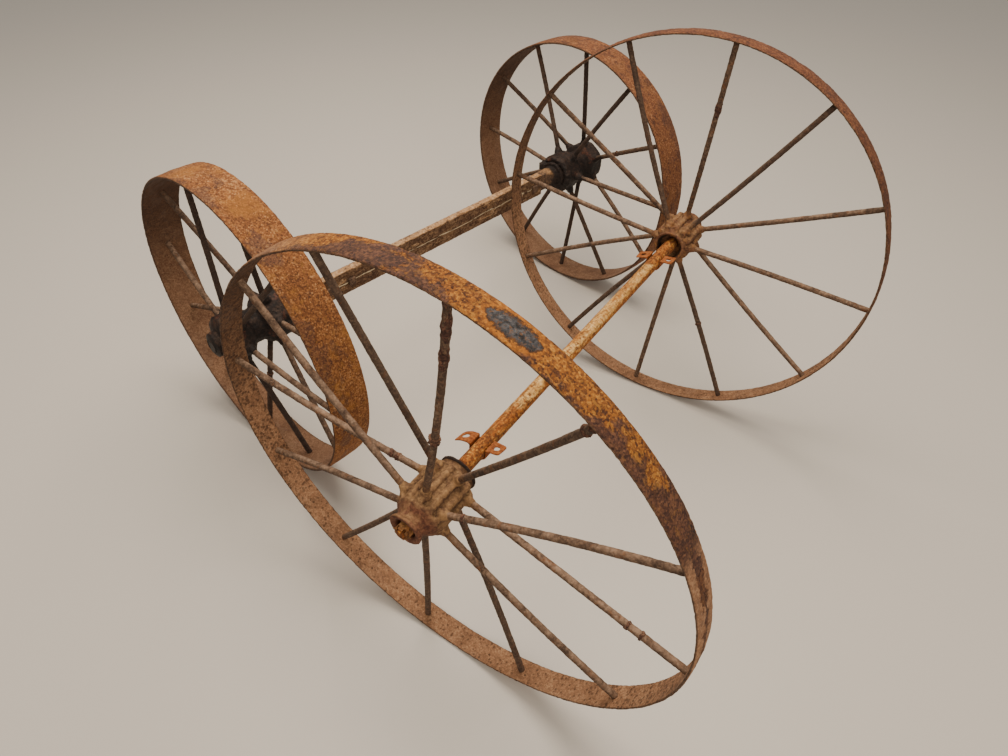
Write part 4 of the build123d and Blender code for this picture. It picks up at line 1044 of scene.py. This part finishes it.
class WAGON_OT_hubs(bpy.types.Operator):
    """Cast the four hubs with eased edges and sand-cast faces"""

    bl_idname = "wagon.hubs"
    bl_label = "Hubs"

    # Profiles of the solids cast or packed onto the hubs, as (radius, height) in metres. Those that reach
    # the axis stop just off it, so that no face collapses.
    TALL_BOSS = ((0.0001, 0), (0.0108, 0), (0.0108, 0.011), (0.0092, 0.0155), (0.0078, 0.0205),
                 (0.0001, 0.0205))
    LOW_BOSS = ((0.0001, 0), (0.0128, 0), (0.0128, 0.013), (0.0102, 0.019), (0.0085, 0.025), (0.0001, 0.025))
    DIRT = ((0.0216, 0.067), (0.028, 0.067), (0.028, 0.0845), (0.0245, 0.0835), (0.0206, 0.0815),
            (0.0206, 0.0745))
    BELL = ((0.0335, -0.0635), (0.0335, -0.0685), (0.0392, -0.0685), (0.0392, -0.0635))
    CAP = ((0.0001, 0.0985), (0.031, 0.097), (0.035, 0.1), (0.033, 0.1055), (0.022, 0.11), (0.0001, 0.112))
    # The packed dirt narrows the tall nose off centre by this much.
    DIRT_SHIFT = (-0.0012, 0, 0)
    # Room between a hub's bore and its spindle, beyond the CAD's own
    BORE_ROOM = 0.0001
    # Dirt fills the tall hub's grooves to this radius, from this radius out, this far each way along it.
    GROOVE_FILL = 0.0442
    GROOVE_FROM = 0.0405
    GROOVE_END = 0.043
    # The low hub's nose wore thinner than it was cast: from this place, fully after this length, by this
    # share, and nowhere to less than this radius.
    NOSE_FROM = 0.078
    NOSE_LENGTH = 0.012
    NOSE_WEAR = 0.23
    NOSE_LEAST = 0.0315
    # Crust grows outside this radius, fully after this much more. Its share is one number on each tall hub,
    # by its end, and one on the low hubs' middles, with more on their inboard and outboard ends. Those
    # start this far from the hub's middle, fully after this length.
    CRUST_FROM = 0.034
    CRUST_FADE = 0.004
    TALL_CRUST = {-1: 0.08, 1: 0.4}
    LOW_CRUST = 0.35
    INBOARD_CRUST = 0.65
    OUTBOARD_CRUST = 0.3
    HUB_END_FROM = 0.07
    HUB_END_LENGTH = 0.02
    # Packed dirt is in the nose from this place and within this radius. The bell begins at this place.
    DIRT_FROM = 0.064
    DIRT_OUT = 0.0268
    BELL_FROM = -0.0612
    # Zones of the tall hubs: each is none at its first place and full at its second, in metres along the
    # hub, or out from its axis where the name says so.
    CREST_OUT = (0.0475, 0.0505)
    GROOVE_OUT = (0.0465, 0.0425)
    GROOVE_ALONG = (0.05, 0.046)
    RED_NOSE = (0.044, 0.06)
    NOSE_MOUTH = (0.064, 0.067)
    MOUTH_OUT = (0.0205, 0.019)
    BELL_EDGE = (-0.0605, -0.062)
    BELL_DEPTH = (-0.045, -0.05)
    BELL_OUT = (0.033, 0.031)

    def execute(self, context):
        wear = context.scene.wagon_wear
        # Sand-cast grey iron: a grainy tan skin, red at the nose, with painted shade in its grooves and a
        #         painted highlight on its crests.
        tan = old_iron("grey_iron_casting", "hub", CAST_GRAIN, under=0.6, scaled=0.62, dusting=0.6,
                       hollow_shade=0.7, zones=self.tall_zones, relief=0.0007)
        # The same iron soaked in axle grease: nearly black, a little smoother, dull red where it dried out.
        black = old_iron("greasy_iron_casting", "grease", CAST_GRAIN, roughness=0.65, under=0.5, scaled=0.56,
                         dusting=0.3, zones=self.low_zones, own=wear.grease)
        for row in WHEELS:
            tall = row.axle == "bar"
            name = row.name + "_hub"
            bore = hub_axes(row, points_of(frame["nodes"][name].data))[1].min()
            sizes = sizes_of(context, row)
            swell = self.TALL_BOSS if tall else self.LOW_BOSS
            extra = [boss(row, sizes, side, radians(row.first_spoke + shift + ROD_TURN * spoke), swell)
                     for side, shift in ((1, 0), (-1, INNER_TURN)) for spoke in range(ROW_RODS)]
            place = wheel_matrix(row)
            if tall:
                extra += [turned(place @ Matrix.Translation(self.DIRT_SHIFT), self.DIRT),
                          turned(place, self.BELL)]
            else:
                extra += [turned(place, self.CAP)]
            worn = Worn(voxel=0.0018 if tall else 0.0024, depth=wear.cast_depth, grain=14.0, seed=row.seed,
                        ease=4 if tall else 3, crust=0.0035)
            piece = worn_piece(
                row.name + "_casting", (name,), "wheel_" + row.name, tan if tall else black, worn,
                extra=extra, reshape=lambda points: self.clear_bore(row, points, bore),
                marks=lambda points: self.marks(row, points))
        return {"FINISHED"}

    def clear_bore(self, row, points, bore):
        """Keep the remeshed bore off the spindle, and wear or fill the outside."""
        out = hub_axes(row, points)[1]
        axis = np.array(wheel_matrix(row))[:3, 2]
        centre = np.array(wheel_matrix(row))[:3, 3]
        along = (points - centre) @ axis
        middle = centre + np.outer(along, axis)
        wanted = np.maximum(out, bore + self.BORE_ROOM)
        if row.axle == "bar":
            grooved = (out > self.GROOVE_FROM) & (np.abs(along) < self.GROOVE_END)
            wanted = np.where(grooved, np.maximum(wanted, self.GROOVE_FILL), wanted)
        else:
            worn = self.NOSE_WEAR * np.clip((along - self.NOSE_FROM) / self.NOSE_LENGTH, 0, 1)
            thinned = np.maximum(self.NOSE_LEAST, wanted * (1 - worn))
            wanted = np.where(wanted > self.NOSE_LEAST, thinned, wanted)
        return middle + (points - middle) * (wanted / np.maximum(out, 1e-6))[:, None]

    def marks(self, row, points):
        """Places along and out from the hub's axis, and how crusted it is there."""
        along, out = hub_axes(row, points)
        outside = np.clip((out - self.CRUST_FROM) / self.CRUST_FADE, 0, 1)
        if row.axle == "bar":
            crust = outside * self.TALL_CRUST[row.end]
            # Packed dirt in the nose, where painted shade darkens its mouth, and the bell's lip keep the
            # colour
            #             that their zone gives them.
            covered = ((along > self.DIRT_FROM) & (out < self.DIRT_OUT)) | (along < self.BELL_FROM)
        else:
            at_ends = np.clip((np.abs(along) - self.HUB_END_FROM) / self.HUB_END_LENGTH, 0, 1)
            more = np.where(along < 0, self.INBOARD_CRUST, self.OUTBOARD_CRUST)
            crust = outside * (self.LOW_CRUST + at_ends * more)
            covered = np.zeros(len(points))
        return {"along": along, "out": out, "crust": crust, "covered": covered.astype(float)}

    @classmethod
    def tall_zones(cls, tree, coords, colour):
        """Yellow-brown crests of painted highlight, grooves of painted shade, a red-brown nose with painted
        shade in its mouth, and a bell blackened by grease on the near hub's lip and by painted shade inside.
        """
        along, out = (node(tree, "ShaderNodeAttribute", attribute_name=label).outputs["Fac"]
                      for label in ("along", "out"))
        highlight_breakup = patches(tree, coords, size=16.0, seed=1.2, low=0.42, high=0.6)
        crest = masked(tree, (out, *cls.CREST_OUT), highlight_breakup)
        # The far hub rusted brighter than the near one, and its bell's lip isn't black; painted shade fills
        #         the inside of both bells.
        beyond = far_side(tree, coords)
        nearer = node(tree, "ShaderNodeMath", {0: 1.0, 1: beyond}, operation="SUBTRACT")
        from_middle = node(tree, "ShaderNodeMath", {0: along}, operation="ABSOLUTE")
        groove_shade = masked(tree, (out, *cls.GROOVE_OUT), (from_middle, *cls.GROOVE_ALONG))
        nose, _ = speckle(tree, coords, shades("hub_nose"), CAST_GRAIN, seed=3.0)
        ochre = patches(tree, coords, size=12.0, seed=2.9, low=0.48, high=0.6)
        bell, _ = speckle(tree, coords, shades("bell"), CAST_GRAIN, seed=3.0)
        # The crests' yellow-brown is a painted highlight, broken into patches, and the grooves' dark brown
        # is painted shade.
        return coats(tree, colour, (masked(tree, crest, 0.5), "#a27b4e"),
                     (masked(tree, groove_shade, 0.55), "#3b2919"),
                     (masked(tree, beyond, 0.6), nose), (masked(tree, beyond, ochre, 0.6), "#9c6a3a"),
                     (masked(tree, (along, *cls.RED_NOSE)), nose),
                     # Painted shade in the nose's mouth, round the nut.
                     (masked(tree, (along, *cls.NOSE_MOUTH), (out, *cls.MOUTH_OUT), 0.9), "#1d120d"),
                     (masked(tree, (along, *cls.BELL_EDGE), nearer), bell),
                     # Painted shade inside the bell, on both hubs.
                     (masked(tree, (along, *cls.BELL_DEPTH), (out, *cls.BELL_OUT)), bell))

    @staticmethod
    def low_zones(tree, coords, colour):
        """Brown and dull red tints over the black grease."""
        tint, _ = speckle(tree, coords, shades("grease_tint"), CAST_GRAIN, seed=3.0)
        dried = patches(tree, coords, size=42.0, seed=1.9, low=0.54, high=0.62)
        return coats(tree, colour, (masked(tree, dried, 0.65), tint))


class WAGON_OT_bar(bpy.types.Operator):
    """Round bar with its canted spindles, worn paint over rust"""

    bl_idname = "wagon.bar"
    bl_label = "Bar"

    # Paint thins from the first to the second of these places, in metres from the bar's middle.
    PAINT_TO_FAR = (0.32, 0.38)
    PAINT_TO_NEAR = (-0.22, -0.38)

    def execute(self, context):
        # Cream oil paint on round steel bar: chalky where it holds, grainy orange rust where it went.
        paint = worn_paint("cream_oil_paint_on_bar", "bar", context.scene.wagon_wear.paint, size=26.0,
                           turn=0.0, lift=self.cover, specks=0.535)
        worn = Worn(voxel=0.0024, depth=0.0006, grain=9.0, seed=4, ease=2)
        piece = worn_piece("bar_axle_worn", ("bar_axle",), "root", paint, worn)
        return {"FINISHED"}

    @classmethod
    def cover(cls, tree, coords):
        """Paint holds best on the top of the bar's middle, and is gone from the clips on."""
        middle = (wheel_matrix(WHEELS[0]).translation.y + wheel_matrix(WHEELS[1]).translation.y) / 2
        along = node(tree, "ShaderNodeSeparateXYZ", {0: coords}).outputs[1]
        up = node(tree, "ShaderNodeAttribute", attribute_name="up").outputs["Fac"]
        ends = [(masked(tree, (along, middle + first, middle + last)), -0.3)
                for first, last in (cls.PAINT_TO_FAR, cls.PAINT_TO_NEAR)]
        return summed(tree, *ends, (masked(tree, (up, -0.1, 0.9)), 0.23), (1.0, -0.18))


class WAGON_OT_clips(bpy.types.Operator):
    """Strap clips under the bar, the near one with a bowed, drooping ear"""

    bl_idname = "wagon.clips"
    bl_label = "Clips"

    # The ears leave the hook this far from the bar's middle, and are this long.
    EAR_FROM = 0.017
    EAR_LENGTH = 0.03
    # How far the near outer ear arches, its end droops and both inner ears' ends lift, in metres
    ARCH = 0.004
    DROOP = 0.009
    LIFT = 0.004
    # How far the near outer ear's end moved towards -x and -y, and how steeply the near ears twist
    NEAR_BACK = (0.004, 0.007)
    TWIST = 0.2
    # How far the far outer ear's end sags and moved towards -y
    SAG = 0.007
    FAR_BACK = 0.006

    def execute(self, context):
        # Strap steel bent while hot, and newer than the rest: thin, bright orange rust with darker flecks.
        rust = old_iron("bright_rusted_strap", "clip", (18.0, 8.0, 4.0), under=0.5, scaled=0.6, dusting=0.5)
        worn = Worn(voxel=0.0012, depth=0.0006, grain=7.0, seed=2)
        for end in ("near", "far"):
            piece = worn_piece("clip_" + end + "_strap", ("clip_" + end,), "root", rust, worn,
                               reshape=self.bowed if end == "near" else self.tired)
        return {"FINISHED"}

    @classmethod
    def ears(cls, row, points):
        """How far along its outer ear, and along its inner one, each point of a clip is."""
        middle = wheel_matrix(row).translation.x
        return (np.clip((side * (points[:, 0] - middle) - cls.EAR_FROM) / cls.EAR_LENGTH, 0, 1.2)
                for side in (-1, 1))

    @classmethod
    def bowed(cls, points):
        """Arch the near clip's outer ear and let its tip droop towards the hub; lift the other one."""
        outer, inner = cls.ears(WHEELS[0], points)
        along = points[:, 1] - points[:, 1].mean()
        bowed = points.copy()
        bowed[:, 2] += cls.ARCH * np.sin(pi * np.clip(outer, 0, 1)) - cls.DROOP * outer ** 1.5
        bowed[:, 2] += cls.LIFT * inner - cls.TWIST * np.maximum(outer, inner) * along
        bowed[:, :2] -= np.outer(outer, cls.NEAR_BACK)
        return bowed

    @classmethod
    def tired(cls, points):
        """Let the far clip's outer ear sag and lift its other one."""
        outer, inner = cls.ears(WHEELS[1], points)
        sagged = points.copy()
        sagged[:, 2] += cls.LIFT * inner - cls.SAG * outer
        sagged[:, 1] -= cls.FAR_BACK * outer
        return sagged


class WAGON_OT_beam(bpy.types.Operator):
    """Channel beam with the last of its paint, and the arms that carry the low wheels"""

    bl_idname = "wagon.beam"
    bl_label = "Beam and Arms"

    # Sizes of the clouds, blotches and grains on forged iron, in millimetres
    FORGED_GRAIN = (28.0, 11.0, 4.6)
    # A lug stands up beside each arm's collar: its reach level, up and along the hub, in metres
    LUG_LEVEL = (0.022, 0.047)
    LUG_UP = (0.012, 0.034)
    LUG_ALONG = (-0.120, -0.098)
    # Grease clots outside this radius of an arm, fully after this much more, and along the arm from this
    # place, fully after this length, up to the last place.
    CLOT_OUT = 0.024
    CLOT_FADE = 0.004
    CLOT_FROM = -0.15
    CLOT_LENGTH = 0.03
    CLOT_TO = -0.094
    # No dust lies on the arm from this place on, wholly after this length; grease blackens it from the
    # first to the second of the edge's places.
    COVERED_FROM = -0.132
    COVERED_LENGTH = 0.012
    GREASE_EDGE = (-0.14, -0.112)
    # The blistered edge of the paint waves this far each way, and fades between these half widths.
    PAINT_WAVE = 0.012
    PAINT_EDGE = (0.0024, 0.0009)

    def execute(self, context):
        near, far = (wheel_matrix(row).translation for row in WHEELS[2:])
        turn = -atan2(far.x - near.x, far.y - near.y)
        # Cream paint on hot-rolled channel: nearly whole on top, with a wavy blistered edge along the face.
        paint = worn_paint("cream_paint_on_channel", "beam", None, size=20.0, turn=turn, lift=self.cover,
                           specks=0.54, trim=self.blistered)
        worn = Worn(voxel=0.003, depth=0.001, grain=12.0, seed=5)
        piece = worn_piece("beam_channel", ("beam",), "root", paint, worn)
        # Hammer-forged iron: a black, uneven skin that turns to clotted grease next to the wheel.
        iron = old_iron("black_forged_arm", "arm", self.FORGED_GRAIN, roughness=0.75, under=0.5, scaled=0.58,
                        zones=self.greasy_collar)
        worn = Worn(voxel=0.0022, depth=0.0009, grain=14.0, seed=7, crust=0.0025)
        for row in WHEELS[2:]:
            end = "near" if row.end < 0 else "far"
            level = sorted(row.end * reach for reach in self.LUG_LEVEL)
            lug = block(row, *zip(level, self.LUG_UP, self.LUG_ALONG))
            piece = worn_piece("arm_" + end + "_forging", ("arm_" + end,), "root", iron, worn,
                               extra=(lug,), marks=lambda points: self.marks(row, points))
        return {"FINISHED"}

    def marks(self, row, points):
        """Place along the arm, and old grease clotted round its collar."""
        along, out = hub_axes(row, points)
        crust = np.clip((out - self.CLOT_OUT) / self.CLOT_FADE, 0, 1) * (along < self.CLOT_TO)
        crust *= np.clip((along - self.CLOT_FROM) / self.CLOT_LENGTH, 0, 1)
        covered = np.clip((along - self.COVERED_FROM) / self.COVERED_LENGTH, 0, 1)
        return {"along": along, "crust": crust, "covered": covered}

    @classmethod
    def greasy_collar(cls, tree, coords, colour):
        """Black grease from the collar to half way along the neck."""
        grease, _ = speckle(tree, coords, shades("grease"), cls.FORGED_GRAIN, seed=3.0)
        along = node(tree, "ShaderNodeAttribute", attribute_name="along").outputs["Fac"]
        uneven = patches(tree, coords, size=30.0, seed=2.2, low=0.4, high=0.6)
        ragged = summed(tree, (uneven, 0.02), (along, 1.0))
        return coats(tree, colour, (masked(tree, (ragged, *cls.GREASE_EDGE), 0.95), grease))

    @staticmethod
    def cover(tree, _):
        """Paint is nearly whole on the top and mostly gone from the faces."""
        up = node(tree, "ShaderNodeAttribute", attribute_name="up").outputs["Fac"]
        return summed(tree, (masked(tree, (up, 0.1, 0.8)), 0.2), (1.0, -0.07))

    @classmethod
    def blistered(cls, tree, lengthwise, colour, height):
        """A wavy edge of thick old paint runs along the middle of the face, with bright flecks."""
        wave = node(tree, "ShaderNodeTexNoise", {
            "Vector": lengthwise, "Scale": mm(22.0), "Detail": 3.0, "W": 1.5}, noise_dimensions="4D")
        level = node(tree, "ShaderNodeSeparateXYZ", {0: lengthwise}).outputs[2]
        bottom, top = (corner[2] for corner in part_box("beam"))
        off = summed(tree, (level, 1.0), (1.0, -(bottom + top) / 2), (wave, 2 * cls.PAINT_WAVE),
                     (1.0, -cls.PAINT_WAVE))
        off = node(tree, "ShaderNodeMath", {0: off}, operation="ABSOLUTE")
        up = node(tree, "ShaderNodeAttribute", attribute_name="up").outputs["Fac"]
        line = masked(tree, (off, *cls.PAINT_EDGE), (up, 0.6, 0.3))
        flecks = masked(tree, line, patches(tree, lengthwise, size=9.0, seed=4.7, low=0.42, high=0.52))
        colour = coats(tree, colour, (masked(tree, line, 0.6), "#2b1d15"),
                       (masked(tree, flecks, 0.9), "#dfcba6"))
        return colour, summed(tree, (height, 1.0), (line, 0.8))


class WAGON_OT_fasteners(bpy.types.Operator):
    """Washers, castle nuts, cotters and arm bolts"""

    bl_idname = "wagon.fasteners"
    bl_label = "Fasteners"

    def execute(self, context):
        # Turned steel nuts and washers: brown-orange rust, fine-grained, with painted shade in the slots.
        rust = old_iron("rusted_castle_nut", "nut", (14.0, 7.0, 3.6), under=0.5, scaled=0.62, dusting=0.5)
        # Axle grease that clotted with dust over the low wheels' nuts: nearly black, soft-edged, less matt.
        grease = old_iron("clotted_grease", "grease", (18.0, 8.0, 4.0), roughness=0.6, under=0.4,
                          scaled=0.55, dusting=0.3, own=context.scene.wagon_wear.grease)
        for row in WHEELS:
            tall = row.axle == "bar"
            end = "near" if row.end < 0 else "far"
            kind = "bar" if tall else "arm"
            nodes = tuple(f"{kind}_{part}_{end}" for part in ("washer", "nut", "cotter"))
            worn = Worn(voxel=0.0009 if tall else 0.0014, depth=0.0006, grain=8.0, seed=6, ease=2)
            piece = worn_piece(f"{kind}_{end}_end_fastening", nodes, "root", rust if tall else grease, worn)
        # Steel bolt heads out of the weather: dark, even rust with no dust on it.
        bolt = old_iron("rusted_bolt_head", "rod", (14.0, 7.0, 3.6), under=0.3, scaled=0.6, dusting=0.0)
        for end in ("near", "far"):
            bolts = frame["nodes"]["arm_bolts_" + end]
            bolts.data.materials.clear()
            bolts.data.materials.append(bolt)
        return {"FINISHED"}


class WAGON_OT_stage(bpy.types.Operator):
    """Plain pale floor, soft light and the camera at the photograph's angle"""

    bl_idname = "wagon.stage"
    bl_label = "Stage"

    def execute(self, context):
        stage = context.scene.wagon_stage
        mesh = bpy.data.meshes.new("floor")
        corners = [(x * FLOOR_REACH, y * FLOOR_REACH, 0) for x, y in ((-1, -1), (1, -1), (1, 1), (-1, 1))]
        mesh.from_pydata(corners, [], [(0, 1, 2, 3)])
        floor = bpy.data.objects.new("floor", mesh)
        context.scene.collection.objects.link(floor)
        # Plain pale floor with the soft gloss of a sealer, which shows the wheels' shadows and little else.
        material, _, _, surface = new_surface("sealed_floor", roughness=0.38)
        surface.inputs["Base Color"].default_value = (*stage.floor, 1)
        mesh.materials.append(material)
        world = bpy.data.worlds.new("soft_room")
        world.use_nodes = True
        room = world.node_tree.nodes["Background"].inputs
        room["Color"].default_value = (*to_linear(ROOM_LIGHT), 1)
        room["Strength"].default_value = ROOM_STRENGTH
        context.scene.world = world
        for entry in LAMPS:
            light = bpy.data.lights.new(entry.name, "AREA")
            light.size = entry.width
            light.energy = stage.power * entry.share
            light.color = to_linear(LAMP_LIGHT)
            lamp = bpy.data.objects.new(entry.name, light)
            lamp.location = entry.place
            aim = Vector(LIT_SPOT) - Vector(entry.place)
            lamp.rotation_euler = aim.to_track_quat("-Z", "Y").to_euler()
            context.scene.collection.objects.link(lamp)
        lens = bpy.data.cameras.new("camera")
        lens.sensor_width = SENSOR
        lens.lens = LENS
        camera = bpy.data.objects.new("camera", lens)
        camera.location = CAMERA_PLACE
        camera.rotation_euler = [radians(angle) for angle in CAMERA_TURN]
        context.scene.collection.objects.link(camera)
        context.scene.camera = camera
        return {"FINISHED"}


class WAGON_PT_panel(bpy.types.Panel):
    """Lists the wagon's pieces and settings"""

    bl_idname = "WAGON_PT_panel"
    bl_label = "Hay Wagon"
    bl_space_type = "VIEW_3D"
    bl_region_type = "UI"
    bl_category = "Wagon"

    def draw(self, context):
        for operator in OPERATORS:
            self.layout.operator(operator.bl_idname)
        for group in SETTINGS:
            settings = getattr(context.scene, group)
            box = self.layout.box()
            for name in settings.bl_rna.properties.keys():
                if name not in ("rna_type", "name"):
                    box.prop(settings, name)


OPERATORS = (WAGON_OT_tyres, WAGON_OT_spokes, WAGON_OT_hubs, WAGON_OT_bar, WAGON_OT_clips, WAGON_OT_beam,
             WAGON_OT_fasteners, WAGON_OT_stage)
CLASSES = (TallWheelSettings, LowWheelSettings, WearSettings, StageSettings, WAGON_PT_panel) + OPERATORS
SETTINGS = {"wagon_tall": TallWheelSettings, "wagon_low": LowWheelSettings, "wagon_wear": WearSettings,
            "wagon_stage": StageSettings}


def register():
    for entry in CLASSES:
        bpy.utils.register_class(entry)
    for group, settings in SETTINGS.items():
        setattr(bpy.types.Scene, group, PointerProperty(type=settings))


def unregister():
    for group in SETTINGS:
        delattr(bpy.types.Scene, group)
    for entry in reversed(CLASSES):
        bpy.utils.unregister_class(entry)


def main():
    """Build the dressed wagon."""
    register()
    bpy.ops.wagon.stage()
    bpy.ops.wagon.tyres()
    bpy.ops.wagon.spokes()
    bpy.ops.wagon.hubs()
    bpy.ops.wagon.bar()
    bpy.ops.wagon.clips()
    bpy.ops.wagon.beam()
    bpy.ops.wagon.fasteners()


if __name__ == "__main__":
    main()
